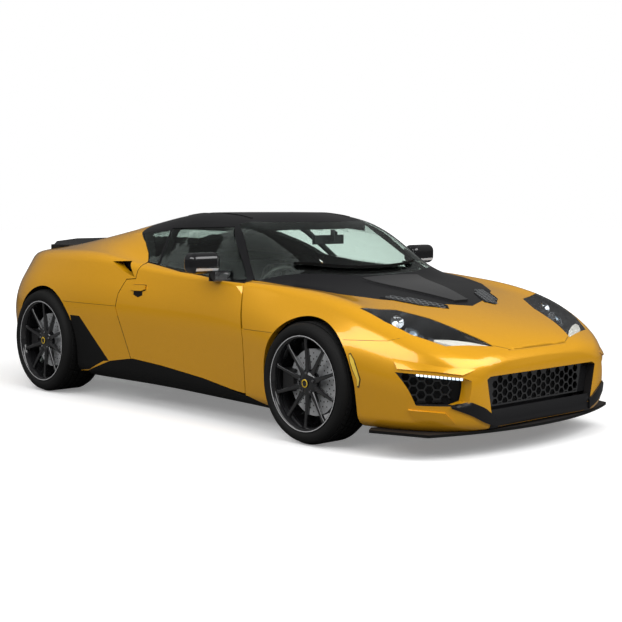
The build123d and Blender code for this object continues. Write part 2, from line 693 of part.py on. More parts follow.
with BuildPart() as engine:
    box((-1110, -300, 235), (-680, 300, 740))
    box((-1520, -170, 235), (-1110, 170, 470))
finish(engine.part, "engine")

# --- Wheels ---


def wheel(name, side, axle, radius, width, rim_r, middle_y):
    """One wheel as three pieces: tyre, rim with its spokes, and brake disc on its hub."""
    place = Plane((axle, side * middle_y, radius), x_dir=(1, 0, 0), z_dir=(0, side, 0))
    profile = Plane(place.origin, x_dir=(1, 0, 0), z_dir=(0, 0, side))
    turn = Axis(place.origin, place.z_dir)
    half = width / 2
    bead = rim_r - 12.0
    lip = rim_r + 6.0
    seat = half - 16.0
    half_tyre = [(bead, seat), (lip, seat), (lip + 2, half - 5), ((lip + radius) / 2, half)]
    half_tyre += [(radius - 16, half - 10), (radius, half - 34)]
    with BuildPart() as tyre:
        with BuildSketch(profile):
            Polygon(*half_tyre, *[(x, -y) for x, y in reversed(half_tyre)], align=None)
        revolve(axis=turn)
    finish(tyre.part, name + "_tyre")
    half_rim = [(bead - RIM_WALL, half - 5), (lip, half - 5), (lip, seat), (bead, seat)]
    face = half - 10.0
    with BuildPart() as rim:
        with BuildSketch(profile):
            Polygon(*half_rim, *[(x, -y) for x, y in reversed(half_rim)], align=None)
        revolve(axis=turn)
        with BuildSketch(place.offset(face - 52)):
            Circle(HUB_R + 8)
            Circle(STUB_R + PIN_FIT, mode=Mode.SUBTRACT)
        extrude(amount=30)
        with BuildSketch(place.offset(face - 42)):
            with PolarLocations(0, SPOKES):
                with Locations(((HUB_R + bead) / 2, 0)):
                    Rectangle(bead - HUB_R - 6, SPOKE_W)
        extrude(amount=30)
        with BuildSketch(place.offset(face - 22)):
            Circle(HUB_R - 10)
        extrude(amount=12)
    finish(rim.part, name + "_rim")
    with BuildPart() as disc:
        with BuildSketch(place.offset(face - 112)):
            Circle(DISC_R)
            Circle(STUB_R + PIN_FIT, mode=Mode.SUBTRACT)
        extrude(amount=DISC_T)
        with BuildSketch(place.offset(face - 52)):
            Circle(HUB_R)
            Circle(STUB_R + PIN_FIT, mode=Mode.SUBTRACT)
        extrude(amount=-60)
    finish(disc.part, name + "_disc")


for wheel_name, wheel_side in (("right", -1), ("left", 1)):
    wheel("front_" + wheel_name, wheel_side, FRONT_AXLE, FRONT_TYRE_R, FRONT_TYRE_W, FRONT_RIM_R, FRONT_WHEEL_Y)
    wheel("rear_" + wheel_name, wheel_side, REAR_AXLE, REAR_TYRE_R, REAR_TYRE_W, REAR_RIM_R, REAR_WHEEL_Y)

# --- Knuckles with stub axle and caliper; suspension arms ---
CALIPER_GAP = 6.0
ARM_T = 30.0
ARM_GAP = 5.0
EYE_R = 28.0            # wishbone round the kingpin
DAMPER_R = 32.0
DAMPER_Y = FRAME_HALF + 70.0
DAMPER_HOLE_R = DAMPER_R + 14.0
BLOCK_RISE = KINGPIN_ARM - 20.0


def upright(axle, radius, half_width, middle_y, pin_y):
    """The right-hand knuckle: block, stub axle, caliper and kingpins above and below."""
    hub_in = middle_y + half_width - 10 - 112
    inner = pin_y - 25
    with BuildPart() as knuckle:
        box((axle - 45, -inner - 50, radius - BLOCK_RISE), (axle + 45, -inner, radius + BLOCK_RISE))
        box((axle - DISC_R - 35, -hub_in - DISC_T - CALIPER_GAP - 22, radius - 60),
            (axle - DISC_R + 50, -hub_in + CALIPER_GAP + 22, radius + 60))
        box((axle - DISC_R - 35, -inner - 50, radius - 30), (axle - 30, -inner - 10, radius + 30))
        with BuildSketch(Plane.XZ.offset(hub_in - CALIPER_GAP)):
            with Locations((axle, radius)):
                Circle(DISC_R + CALIPER_GAP)
        extrude(amount=DISC_T + 2 * CALIPER_GAP, mode=Mode.SUBTRACT)
        with BuildSketch(Plane.XZ.offset(inner)):
            with Locations((axle, radius)):
                Circle(STUB_R)
        extrude(amount=hub_in - inner + 86)
        reach = BLOCK_RISE + ARM_GAP + ARM_T
        with BuildSketch(Plane.XY.offset(radius - reach)):
            with Locations((axle, -pin_y)):
                Circle(KINGPIN_R)
        extrude(amount=2 * reach)
    return knuckle.part


def wishbone(axle, low, pin_y, hole):
    """A right-hand A-arm from the frame posts to the eye round the kingpin."""
    with BuildPart() as arm:
        with BuildSketch(Plane.XY.offset(low)):
            Polygon(
                (axle - POST_FAR, -FRAME_HALF),
                (axle + POST_FAR, -FRAME_HALF),
                (axle + EYE_R, -pin_y),
                (axle - EYE_R, -pin_y),
                align=None,
            )
            with Locations((axle, -pin_y)):
                Circle(EYE_R)
                Circle(KINGPIN_R + PIN_FIT, mode=Mode.SUBTRACT)
            if hole:
                with Locations((axle, -DAMPER_Y)):
                    Circle(DAMPER_HOLE_R, mode=Mode.SUBTRACT)
        extrude(amount=ARM_T)
    return arm.part


def corner(axle, radius, pin_y):
    """The right-hand arms and damper of one wheel."""
    rise = BLOCK_RISE + ARM_GAP
    with BuildPart() as arms:
        add(wishbone(axle, radius + rise, pin_y, True))
        add(wishbone(axle, radius - rise - ARM_T, pin_y, False))
        with BuildSketch(Plane.XY.offset(radius - rise)):
            with Locations((axle, -DAMPER_Y)):
                Circle(DAMPER_R)
        extrude(amount=POST_TOP - radius + rise + 60)
    return arms.part


REAR_PIN_Y = 775.0
left_and_right(upright(FRONT_AXLE, FRONT_TYRE_R, FRONT_TYRE_W / 2, FRONT_WHEEL_Y, KINGPIN_Y), "knuckle")
both_sides(corner(FRONT_AXLE, FRONT_TYRE_R, KINGPIN_Y), "front_suspension")
both_sides(corner(REAR_AXLE, REAR_TYRE_R, REAR_PIN_Y), "rear_suspension")
both_sides(upright(REAR_AXLE, REAR_TYRE_R, REAR_TYRE_W / 2, REAR_WHEEL_Y, REAR_PIN_Y), "rear_uprights")

# --- Arch liners ---
REAR_LINER_GAP = 12.0
with BuildPart() as arch_liner:
    for axle, height, radius, gap, inner in (
        (FRONT_AXLE, FRONT_TYRE_R, FRONT_ARCH_R, LINER_GAP, 480),
        (REAR_AXLE, REAR_TYRE_R, REAR_ARCH_R, REAR_LINER_GAP, 560),
    ):
        with BuildSketch(Plane.XZ.offset(inner)):
            with Locations((axle, height)):
                Circle(radius + gap + LINER_T)
                Circle(radius + gap, mode=Mode.SUBTRACT)
            with Locations((axle, height - WIDE / 2 - 60)):
                Rectangle(WIDE, WIDE, mode=Mode.SUBTRACT)
        extrude(amount=WIDE)
    add(inner_form, mode=Mode.INTERSECT)
both_sides(arch_liner.part, "arch_liners")

# --- Cabin: dashboard, steering wheel, seats, console, mirror ---
SEAT_Y = 355.0
with BuildPart() as dashboard:
    with BuildSketch(Plane.XZ):
        Polygon((1010, 772), (1010, 800), (760, 830), (590, 800), (560, 740), (620, 640), (700, 600), (814, 600),
                (814, 772), align=None)
    extrude(amount=580)
    add(front_inner, mode=Mode.INTERSECT)
both_sides(dashboard.part, "dashboard")

WHEEL_MIDDLE = (470.0, -SEAT_Y, 720.0)
wheel_plane = Plane(WHEEL_MIDDLE, x_dir=(0, 1, 0), z_dir=(-0.92, 0, 0.39))
with BuildPart() as steering_wheel:
    with BuildSketch(wheel_plane.offset(-15)):
        Circle(185)
        Circle(155, mode=Mode.SUBTRACT)
    extrude(amount=30)
    with BuildSketch(wheel_plane.offset(-12)):
        Rectangle(320, 36)
        Circle(60)
    extrude(amount=24)
    with BuildSketch(wheel_plane.offset(-160)):
        Circle(28)
    extrude(amount=150)
    add(dashboard.part, mode=Mode.SUBTRACT)
finish(steering_wheel.part, "steering_wheel")

cabin_floor = TUB["low"] + FLOOR_T
with BuildPart() as seat:
    with BuildSketch(Plane.XZ.offset(SEAT_Y - 225)):
        Polygon((330, cabin_floor), (345, 360), (-120, 330), (-300, 900), (-400, 900), (-240, cabin_floor),
                align=None)
    extrude(amount=450)
    fillet(seat.edges().filter_by(Axis.Y).sort_by(Axis.Z)[-3:], radius=40)
both_sides(seat.part, "seats")

with BuildPart() as centre_console:
    with BuildSketch(Plane.XZ):
        Polygon((814, cabin_floor), (814, 598), (700, 598), (480, 430), (-350, 400), (-350, cabin_floor), align=None)
    extrude(amount=105, both=True)
finish(centre_console.part, "centre_console")

with BuildPart() as cabin_mirror:
    box((520, -120, 1010), (545, 120, 1065))
    box((540, -15, 1030), (600, 15, 1050))
    box((570, -15, 1030), (600, 15, 1200))
    add(glass_form, mode=Mode.INTERSECT)
finish(cabin_mirror.part, "cabin_mirror")

# --- Exhaust ---
with BuildPart() as exhaust:
    box((-1950, -260, 262), (-1760, 260, 400))
    box((-1760, -40, 290), (-1520, 40, 370))
    with BuildSketch(Plane.YZ.offset(TAIL_END)):
        for pipe_y in (-PIPE_Y, PIPE_Y):
            with Locations((pipe_y, PIPE_Z)):
                Circle(PIPE_R)
    extrude(amount=PIPE_LONG)
    with BuildSketch(Plane.YZ.offset(TAIL_END)):
        for pipe_y in (-PIPE_Y, PIPE_Y):
            with Locations((pipe_y, PIPE_Z)):
                Circle(PIPE_R - 3)
    extrude(amount=200, mode=Mode.SUBTRACT)
finish(exhaust.part, "exhaust")
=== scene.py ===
import functools
import math

import bmesh
import bpy
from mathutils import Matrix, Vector
from mathutils.bvhtree import BVHTree


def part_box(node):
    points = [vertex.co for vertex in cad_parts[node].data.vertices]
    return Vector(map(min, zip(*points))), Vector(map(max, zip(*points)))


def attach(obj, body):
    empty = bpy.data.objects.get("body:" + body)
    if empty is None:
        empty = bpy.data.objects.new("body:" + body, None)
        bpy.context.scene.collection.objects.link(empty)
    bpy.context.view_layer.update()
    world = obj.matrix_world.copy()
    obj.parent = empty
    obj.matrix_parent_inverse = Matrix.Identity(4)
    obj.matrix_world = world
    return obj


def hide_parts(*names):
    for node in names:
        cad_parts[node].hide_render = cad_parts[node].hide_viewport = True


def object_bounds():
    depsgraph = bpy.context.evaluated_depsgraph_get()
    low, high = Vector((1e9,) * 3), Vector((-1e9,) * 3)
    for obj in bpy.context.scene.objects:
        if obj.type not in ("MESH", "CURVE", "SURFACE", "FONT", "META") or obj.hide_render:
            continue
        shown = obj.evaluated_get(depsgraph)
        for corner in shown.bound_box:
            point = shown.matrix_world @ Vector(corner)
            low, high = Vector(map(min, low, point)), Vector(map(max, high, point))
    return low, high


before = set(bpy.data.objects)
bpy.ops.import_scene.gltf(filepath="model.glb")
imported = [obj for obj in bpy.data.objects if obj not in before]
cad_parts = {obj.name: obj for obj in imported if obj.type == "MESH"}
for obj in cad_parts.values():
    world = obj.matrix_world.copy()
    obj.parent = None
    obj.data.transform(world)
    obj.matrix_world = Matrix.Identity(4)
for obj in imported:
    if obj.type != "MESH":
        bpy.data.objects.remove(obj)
cad_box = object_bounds()

# --- Studio ---
# A long lens at standing height looks at the car's right front corner, in a white room with
# soft lamps above, beside and ahead. The eye sees the room at full white and the car sees it
# dimmer, so that the paint keeps its depth.
SENSOR = 36
PHOTO_SIZE = 622
FOCAL_PIXELS = 1257.9
MIDDLE_SHIFT_PIXELS = 4.87
CAMERA_PLACE = (6.1165, -5.269, 1.284)
CAMERA_TURN = 47.21
CAMERA_TILT = -5.07
ROOM_LIGHT = 0.34
ROOM_SHINE = 0.13
FLOOR_HALF = 40.0
FLOOR_WHITE = (0.93, 0.93, 0.93, 1)
FLOOR_SHADE = (0.11, 0.11, 0.11, 1)
FLOOR_ROUGHNESS = 0.7
FLOOR_FADE = (("From Min", 2.6), ("From Max", 8.0), ("To Min", 0.22), ("To Max", 1.0))

scene = bpy.context.scene
scene.view_settings.view_transform = "Standard"
camera_data = bpy.data.cameras.new("camera")
camera_data.sensor_width = SENSOR
camera_data.lens = SENSOR * FOCAL_PIXELS / PHOTO_SIZE
camera_data.shift_x = -MIDDLE_SHIFT_PIXELS / PHOTO_SIZE
camera = bpy.data.objects.new("camera", camera_data)
camera.location = CAMERA_PLACE
camera.rotation_euler = (math.radians(90 + CAMERA_TILT), 0, math.radians(CAMERA_TURN))
scene.collection.objects.link(camera)
scene.camera = camera

for lamp_name, lamp_size, lamp_place, lamp_aim, lamp_power in (
    ("overhead", (14.0, 7.0), (0.5, -1.0, 5.6), (0, 0, 0), 400),
    ("near_side", (8.0, 2.0), (0.5, -6.0, 3.8), (0, 0, 0.5), 150),
    ("front", (8.0, 4.0), (6.5, 1.0, 4.6), (1.5, 0, 0.5), 290),
):
    lamp_data = bpy.data.lights.new(lamp_name, "AREA")
    lamp_data.shape = "RECTANGLE"
    lamp_data.size, lamp_data.size_y = lamp_size
    lamp_data.energy = lamp_power
    lamp = bpy.data.objects.new(lamp_name, lamp_data)
    lamp.location = lamp_place
    lamp.rotation_euler = (Vector(lamp_aim) - Vector(lamp_place)).to_track_quat("-Z", "Y").to_euler()
    lamp.visible_glossy = lamp_name != "overhead"
    scene.collection.objects.link(lamp)


def seen_directly(tree):
    """A mask that is one for a ray straight from the eye, through clear glass or not."""
    paths = tree.nodes.new("ShaderNodeLightPath")
    bounces, straight, through, seen = [tree.nodes.new("ShaderNodeMath") for _ in range(4)]
    bounces.operation, straight.operation = "ADD", "LESS_THAN"
    through.operation, seen.operation = "MULTIPLY", "MAXIMUM"
    straight.inputs[1].default_value = 0.5
    tree.links.new(paths.outputs["Glossy Depth"], bounces.inputs[0])
    tree.links.new(paths.outputs["Diffuse Depth"], bounces.inputs[1])
    tree.links.new(bounces.outputs[0], straight.inputs[0])
    tree.links.new(paths.outputs["Is Transmission Ray"], through.inputs[0])
    tree.links.new(straight.outputs[0], through.inputs[1])
    tree.links.new(paths.outputs["Is Camera Ray"], seen.inputs[0])
    tree.links.new(through.outputs[0], seen.inputs[1])
    return seen.outputs[0]


world = bpy.data.worlds.new("white_room")
world.use_nodes = True
scene.world = world
room = world.node_tree
sky = room.nodes["Background"]
sky.inputs["Color"].default_value = (1, 1, 1, 1)
paths = room.nodes.new("ShaderNodeLightPath")
level = room.nodes.new("ShaderNodeMapRange")
level.inputs["To Min"].default_value = ROOM_LIGHT
level.inputs["To Max"].default_value = ROOM_SHINE
strength = room.nodes.new("ShaderNodeMath")
strength.operation = "MAXIMUM"
room.links.new(paths.outputs["Is Glossy Ray"], level.inputs["Value"])
room.links.new(seen_directly(room), strength.inputs[0])
room.links.new(level.outputs["Result"], strength.inputs[1])
room.links.new(strength.outputs[0], sky.inputs["Strength"])

floor_mesh = bpy.data.meshes.new("floor")
corners = [(x * FLOOR_HALF, y * FLOOR_HALF, 0) for x, y in ((-1, -1), (1, -1), (1, 1), (-1, 1))]
floor_mesh.from_pydata(corners, [], [(0, 1, 2, 3)])
floor = bpy.data.objects.new("floor", floor_mesh)
scene.collection.objects.link(floor)
floor_paint = bpy.data.materials.new("floor_white")
floor_paint.use_nodes = True
ground = floor_paint.node_tree
shader = ground.nodes["Principled BSDF"]
shader.inputs["Roughness"].default_value = FLOOR_ROUGHNESS
shader.inputs["Emission Color"].default_value = (1, 1, 1, 1)
tone = ground.nodes.new("ShaderNodeMix")
tone.data_type = "RGBA"
tone.inputs[6].default_value = FLOOR_SHADE
tone.inputs[7].default_value = FLOOR_WHITE
place = ground.nodes.new("ShaderNodeTexCoord")
reach = ground.nodes.new("ShaderNodeVectorMath")
reach.operation = "LENGTH"
fade = ground.nodes.new("ShaderNodeMapRange")
for socket, value in FLOOR_FADE:
    fade.inputs[socket].default_value = value
glow = ground.nodes.new("ShaderNodeMath")
glow.operation = "MULTIPLY"
seen = seen_directly(ground)
ground.links.new(seen, tone.inputs[0])
ground.links.new(tone.outputs[2], shader.inputs["Base Color"])
ground.links.new(place.outputs["Object"], reach.inputs[0])
ground.links.new(reach.outputs["Value"], fade.inputs["Value"])
ground.links.new(seen, glow.inputs[0])
ground.links.new(fade.outputs["Result"], glow.inputs[1])
ground.links.new(glow.outputs[0], shader.inputs["Emission Strength"])
floor_mesh.materials.append(floor_paint)


# --- Painted panels ---
# Moulded composite panels sprayed in metallic yellow under clear lacquer, each bonded or
# screwed to the tub. Roof and access panel are satin black, the tail panel is gloss black,
# and the lowest mouldings are black plastic left unpainted.
def make_grain():
    """A node group that varies roughness and height finely over a surface."""
    tree = bpy.data.node_groups.new("fine_grain", "ShaderNodeTree")
    for socket, value in (("Scale", 300.0), ("Smoothest", 0.2), ("Roughest", 0.3)):
        made = tree.interface.new_socket(socket, in_out="INPUT", socket_type="NodeSocketFloat")
        made.default_value = value
    tree.interface.new_socket("Roughness", in_out="OUTPUT", socket_type="NodeSocketFloat")
    tree.interface.new_socket("Height", in_out="OUTPUT", socket_type="NodeSocketFloat")
    start = tree.nodes.new("NodeGroupInput")
    end = tree.nodes.new("NodeGroupOutput")
    place = tree.nodes.new("ShaderNodeTexCoord")
    noise = tree.nodes.new("ShaderNodeTexNoise")
    noise.inputs["Detail"].default_value = 3
    spread = tree.nodes.new("ShaderNodeMapRange")
    tree.links.new(place.outputs["Object"], noise.inputs["Vector"])
    tree.links.new(start.outputs["Scale"], noise.inputs["Scale"])
    tree.links.new(noise.outputs["Fac"], spread.inputs["Value"])
    tree.links.new(start.outputs["Smoothest"], spread.inputs["To Min"])
    tree.links.new(start.outputs["Roughest"], spread.inputs["To Max"])
    tree.links.new(spread.outputs["Result"], end.inputs["Roughness"])
    tree.links.new(noise.outputs["Fac"], end.inputs["Height"])
    return tree


fine_grain = make_grain()


def make_finish(name, colour, smoothest, roughest, scale, bump, second=None, **sockets):
    """A procedural material: grain in its roughness and relief, and a slight second colour."""
    material = bpy.data.materials.new(name)
    material.use_nodes = True
    nodes = material.node_tree.nodes
    links = material.node_tree.links
    shader = nodes["Principled BSDF"]
    shader.inputs["Base Color"].default_value = (*colour, 1)
    grain = nodes.new("ShaderNodeGroup")
    grain.node_tree = fine_grain
    grain.inputs["Scale"].default_value = scale
    grain.inputs["Smoothest"].default_value = smoothest
    grain.inputs["Roughest"].default_value = roughest
    links.new(grain.outputs["Roughness"], shader.inputs["Roughness"])
    relief = nodes.new("ShaderNodeBump")
    relief.inputs["Strength"].default_value = bump
    relief.inputs["Distance"].default_value = 0.001
    links.new(grain.outputs["Height"], relief.inputs["Height"])
    links.new(relief.outputs["Normal"], shader.inputs["Normal"])
    if second:
        mix = nodes.new("ShaderNodeMix")
        mix.data_type = "RGBA"
        mix.inputs[6].default_value = (*colour, 1)
        mix.inputs[7].default_value = (*second, 1)
        links.new(grain.outputs["Height"], mix.inputs[0])
        links.new(mix.outputs[2], shader.inputs["Base Color"])
    for socket, value in sockets.items():
        shader.inputs[socket.replace("_", " ")].default_value = value
    return material


yellow_lacquer = make_finish("yellow_lacquer", (0.92, 0.40, 0.004), 0.22, 0.34, 1400, 0.01,
                             (0.97, 0.50, 0.01), Metallic=0.35, Coat_Weight=1.0, Coat_Roughness=0.03)
satin_black = make_finish("satin_black", (0.006, 0.006, 0.007), 0.30, 0.42, 500, 0.01,
                          (0.010, 0.010, 0.011), Specular_IOR_Level=0.3, Coat_Weight=0.2,
                          Coat_Roughness=0.15)
gloss_black = make_finish("gloss_black", (0.008, 0.008, 0.009), 0.08, 0.14, 200, 0.004,
                          (0.014, 0.014, 0.015), Coat_Weight=1.0, Coat_Roughness=0.03)
inner_trim = make_finish("inner_trim", (0.016, 0.015, 0.015), 0.5, 0.65, 600, 0.25,
                         (0.026, 0.024, 0.024), Specular_IOR_Level=0.3)
moulded_black = make_finish("moulded_black", (0.006, 0.006, 0.006), 0.45, 0.6, 900, 0.15,
                            (0.012, 0.012, 0.012), Specular_IOR_Level=0.15)


# A face is inside when it looks back towards the body's middle line. So are the top of a door's
# skin and the rear clam's forward edge, which show only through glass.
BODY_MIDDLE = Vector((0, 0, 0.5))
LENGTH_WEIGHT = 0.35
INSIDE_LIMIT = -0.15
DOOR_TOP_RISE = 0.97
SHUT_FACE_TURN = 0.45
SHUT_FACE_FOOT = 0.86
PANEL_WELD = 0.00005
PANEL_SHARP = 28


def smooth_panel(node, body, material, inner=None):
    """A smooth copy of a rigid piece; its inside and hidden edges can have their own finish."""
    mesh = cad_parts[node].data.copy()
    edit = bmesh.new()
    edit.from_mesh(mesh)
    bmesh.ops.remove_doubles(edit, verts=edit.verts, dist=PANEL_WELD)
    edit.to_mesh(mesh)
    edit.free()
    mesh.materials.clear()
    mesh.materials.append(material)
    mesh.materials.append(inner or material)
    for polygon in mesh.polygons:
        polygon.use_smooth = True
        outward = polygon.center - BODY_MIDDLE
        outward.x *= LENGTH_WEIGHT
        inside = polygon.normal.dot(outward.normalized()) < INSIDE_LIMIT
        door_top = body.endswith("_door") and polygon.normal.z > DOOR_TOP_RISE
        shut_face = (node == "rear_clam" and polygon.normal.x > SHUT_FACE_TURN
                     and polygon.center.z > SHUT_FACE_FOOT)
        if inside or door_top or shut_face:
            polygon.material_index = 1
    mesh.set_sharp_from_angle(angle=math.radians(PANEL_SHARP))
    panel = bpy.data.objects.new(node + "_skin", mesh)
    scene.collection.objects.link(panel)
    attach(panel, body)
    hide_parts(node)
    return panel


for material, body, nodes in (
    (yellow_lacquer, "body", ("front_clam", "front_bumper", "side_panels", "rear_clam", "rear_bumper")),
    (yellow_lacquer, "right_door", ("right_door",)),
    (yellow_lacquer, "left_door", ("left_door",)),
    (yellow_lacquer, "tailgate", ("tailgate",)),
    (satin_black, "body", ("roof_panel", "cabin_frame", "bonnet_panel")),
    (gloss_black, "body", ("tail_panel",)),
    (moulded_black, "body", ("front_splitter", "side_skirts", "side_inserts", "diffuser",
                             "side_intakes", "arch_liners")),
):
    for node in nodes:
        smooth_panel(node, body, material, inner_trim)
for door in ("right_door", "left_door"):
    smooth_panel(door + "_mirror", door, gloss_black)

# --- Tail lip ---
# A moulded black lip on the lid's rear edge; in plan its ends are swept to follow the tail.
LIP_CUTS = (((-1.700, 0.600), (-0.62, 0.78)), ((-2.005, 0.360), (-0.93, 0.36)))
lip_skin = smooth_panel("tail_spoiler", "tailgate", satin_black)
lip_edit = bmesh.new()
lip_edit.from_mesh(lip_skin.data)
for side in (-1, 1):
    for (x, y), (way_x, way_y) in LIP_CUTS:
        whole = lip_edit.verts[:] + lip_edit.edges[:] + lip_edit.faces[:]
        cut = bmesh.ops.bisect_plane(lip_edit, geom=whole, plane_co=(x, side * y, 0),
                                     plane_no=(way_x, side * way_y, 0), clear_outer=True)
        open_edges = [part for part in cut["geom_cut"] if isinstance(part, bmesh.types.BMEdge)]
        bmesh.ops.holes_fill(lip_edit, edges=open_edges)
lip_edit.to_mesh(lip_skin.data)
lip_edit.free()

# --- Glazing ---
# Laminated screen and toughened side glass, green-tinted, bonded into the frame. The lamp
# covers are clear hard-coated polycarbonate and the tail lamps are red acrylic.
tinted_glass = make_finish("tinted_glass", (0.78, 0.88, 0.83), 0.0, 0.02, 40, 0.0,
                           Transmission_Weight=1.0, IOR=1.3)
dark_glass = make_finish("dark_glass", (0.66, 0.76, 0.71), 0.0, 0.02, 40, 0.0,
                         Transmission_Weight=1.0, IOR=1.3)
clear_cover = make_finish("clear_cover", (0.92, 0.95, 0.97), 0.0, 0.015, 40, 0.0,
                          Transmission_Weight=1.0, IOR=1.4)
red_lens = make_finish("red_lens", (0.35, 0.005, 0.005), 0.05, 0.1, 60, 0.02, (0.5, 0.01, 0.01),
                       Coat_Weight=1.0)
for node, body, material in (
    ("windscreen", "body", tinted_glass),
    ("quarter_windows", "body", dark_glass),
    ("rear_window", "tailgate", dark_glass),
    ("right_door_glass", "right_door", dark_glass),
    ("left_door_glass", "left_door", dark_glass),
    ("headlamp_lenses", "body", clear_cover),
    ("tail_lamps", "body", red_lens),
):
    smooth_panel(node, body, material)

# The rear clam's faces close behind a quarter window are black, like the band that bonds it.
PANE_OFFSET = 0.0005
PANE_REACH = 0.02


@functools.cache
def panel_tree(name):
    """A search tree over the faces of one rigid piece."""
    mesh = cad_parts[name].data
    return BVHTree.FromPolygons([v.co for v in mesh.vertices], [tuple(p.vertices) for p in mesh.polygons])


pane_tree = panel_tree("quarter_windows")
for polygon in bpy.data.objects["rear_clam_skin"].data.polygons:
    start = polygon.center + polygon.normal * PANE_OFFSET
    if pane_tree.ray_cast(start, polygon.normal, PANE_REACH)[0]:
        polygon.material_index = 1

# --- Running gear, tub and cabin trim kept as built ---
# Cast and extruded aluminium below, a bonded tub, cast iron discs, black trim inside, and
# gloss black grilles and lamp bowls.
cast_metal = make_finish("cast_metal", (0.30, 0.31, 0.32), 0.35, 0.55, 250, 0.2,
                         (0.38, 0.39, 0.40), Metallic=0.9)
dark_steel = make_finish("dark_steel", (0.05, 0.05, 0.052), 0.35, 0.5, 200, 0.1,
                         (0.08, 0.08, 0.08), Metallic=0.8)
disc_metal = make_finish("disc_metal", (0.62, 0.63, 0.64), 0.25, 0.4, 120, 0.05,
                         (0.72, 0.73, 0.74), Metallic=0.45)
cabin_trim = make_finish("cabin_trim", (0.02, 0.02, 0.022), 0.55, 0.7, 700, 0.3,
                         (0.03, 0.03, 0.032))
WHEELS = ("front_right", "front_left", "rear_right", "rear_left")
SIDES = (("right", -1), ("left", 1))
for material, nodes in (
    (cast_metal, ("subframes", "engine")),
    (dark_steel, ("front_suspension", "rear_suspension", "rear_uprights", "right_knuckle", "left_knuckle")),
    (disc_metal, ("exhaust", *[wheel + "_disc" for wheel in WHEELS])),
    (cabin_trim, ("floor_tub", "dashboard", "centre_console", "cabin_mirror")),
    (gloss_black, ("headlamp_units", "main_grille", "side_grilles")),
):
    for node in nodes:
        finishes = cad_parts[node].data.materials
        finishes.clear()
        finishes.append(material)

# --- Wheels ---
# Low-profile road tyres with five ribs of tread blocks, on cast gloss black rims with ten
# slim spokes, a machined lip line, five bolts and a plain cap with a yellow ring.
tyre_rubber = make_finish("tyre_rubber", (0.008, 0.008, 0.008), 0.55, 0.75, 600, 0.2,
                          (0.014, 0.014, 0.014), Specular_IOR_Level=0.2)
machined_lip = make_finish("machined_lip", (0.72, 0.72, 0.73), 0.12, 0.2, 300, 0.02,
                           (0.80, 0.80, 0.81), Metallic=0.4)
cap_yellow = make_finish("cap_yellow", (0.85, 0.55, 0.02), 0.25, 0.35, 300, 0.02,
                         (0.9, 0.6, 0.03), Coat_Weight=0.6)
bolt_steel = make_finish("bolt_steel", (0.25, 0.25, 0.26), 0.2, 0.3, 300, 0.05,
                         (0.35, 0.35, 0.36), Metallic=1.0)

POINT_WELD = 0.00002


def shaped(name, vertices, faces):
    """A mesh of points and faces, with doubled points welded and its faces turned outwards."""
    mesh = bpy.data.meshes.new(name)
    mesh.from_pydata(vertices, [], faces)
    edit = bmesh.new()
    edit.from_mesh(mesh)
    bmesh.ops.remove_doubles(edit, verts=edit.verts, dist=POINT_WELD)
    bmesh.ops.recalc_face_normals(edit, faces=edit.faces)
    edit.to_mesh(mesh)
    edit.free()
    return mesh


def new_piece(name, vertices, faces, material, body, sharp=35, bevel=0.0):
    """A smooth-shaded piece that rides on a body, its edges rounded by a bevel if one is given."""
    mesh = shaped(name, vertices, faces)
    for polygon in mesh.polygons:
        polygon.use_smooth = True
    mesh.set_sharp_from_angle(angle=math.radians(sharp))
    mesh.materials.append(material)
    piece = bpy.data.objects.new(name, mesh)
    scene.collection.objects.link(piece)
    if bevel:
        rounding = piece.modifiers.new("edge", "BEVEL")
        rounding.width = bevel
        rounding.segments = 2
        rounding.limit_method = "ANGLE"
    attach(piece, body)
    return piece


def skinned(rings, looped=False):
    """Vertices and faces of a skin over rings of points, capped at its ends or looped."""
    count = len(rings[0])
    vertices = [point for ring in rings for point in ring]
    total = len(vertices)
    faces = []
    for first in range(0, total if looped else total - count, count):
        for index in range(count):
            a, b = first + index, first + (index + 1) % count
            faces.append((a, b, (b + count) % total, (a + count) % total))
    if not looped:
        faces += [tuple(range(count)), tuple(range(total - count, total))]
    return vertices, faces


def joined(parts):
    """Several pairs of vertices and faces made one pair."""
    vertices, faces = [], []
    for points, corners in parts:
        first = len(vertices)
        vertices += points
        faces += [tuple(first + corner for corner in face) for face in corners]
    return vertices, faces


def lathe(profile, steps, centre, axis, start=0.0):
    """Vertices and faces of a closed outline of (radius, ahead) pairs spun about an axis."""
    ahead = Vector(axis).normalized()
    across = ahead.orthogonal().normalized()
    third = ahead.cross(across)
    rings = []
    for step in range(steps):
        angle = start + 2 * math.pi * step / steps
        spoke = across * math.cos(angle) + third * math.sin(angle)
        rings.append([Vector(centre) + spoke * radius + ahead * ahead_by
                      for radius, ahead_by in profile])
    return skinned(rings, looped=True)


def around(centre, radius, angle, outward=0.0):
    """A point at a radius and an angle about a wheel's axle, moved along the axle."""
    return (centre[0] + radius * math.cos(angle), centre[1] + outward,
            centre[2] + radius * math.sin(angle))


TREAD_DEPTH = 0.007
TREAD_ROOT = 0.003
TREAD_PITCHES = 64
TREAD_RIBS = (-0.92, -0.56, -0.2, 0.2, 0.56, 0.92)
MIDDLE_RIB = 2
GROOVE_HALF = 0.0045
BLOCK_SHARE = 0.9
BLOCK_STAGGER = 0.4
BLOCK_SKEW = 0.012
SHOULDER_WIDTH = 0.030
FACE_SET_BACK = 0.020
SPOKES = 10
BOLTS = 5
BOLT_CIRCLE_RADIUS = 0.053
NUT_TURN = math.radians(45)


def tread_block(centre, angles, radii, edges, skew):
    """A block that follows a tyre's curve, with its second edge turned on by a skew."""
    (start, end), (inner, outer) = angles, radii
    spots = ((inner, start), (inner, end), (outer, end), (outer, start))
    return skinned([[around(centre, radius, angle + turn, outward) for radius, angle in spots]
                    for outward, turn in zip(edges, (0, skew))])


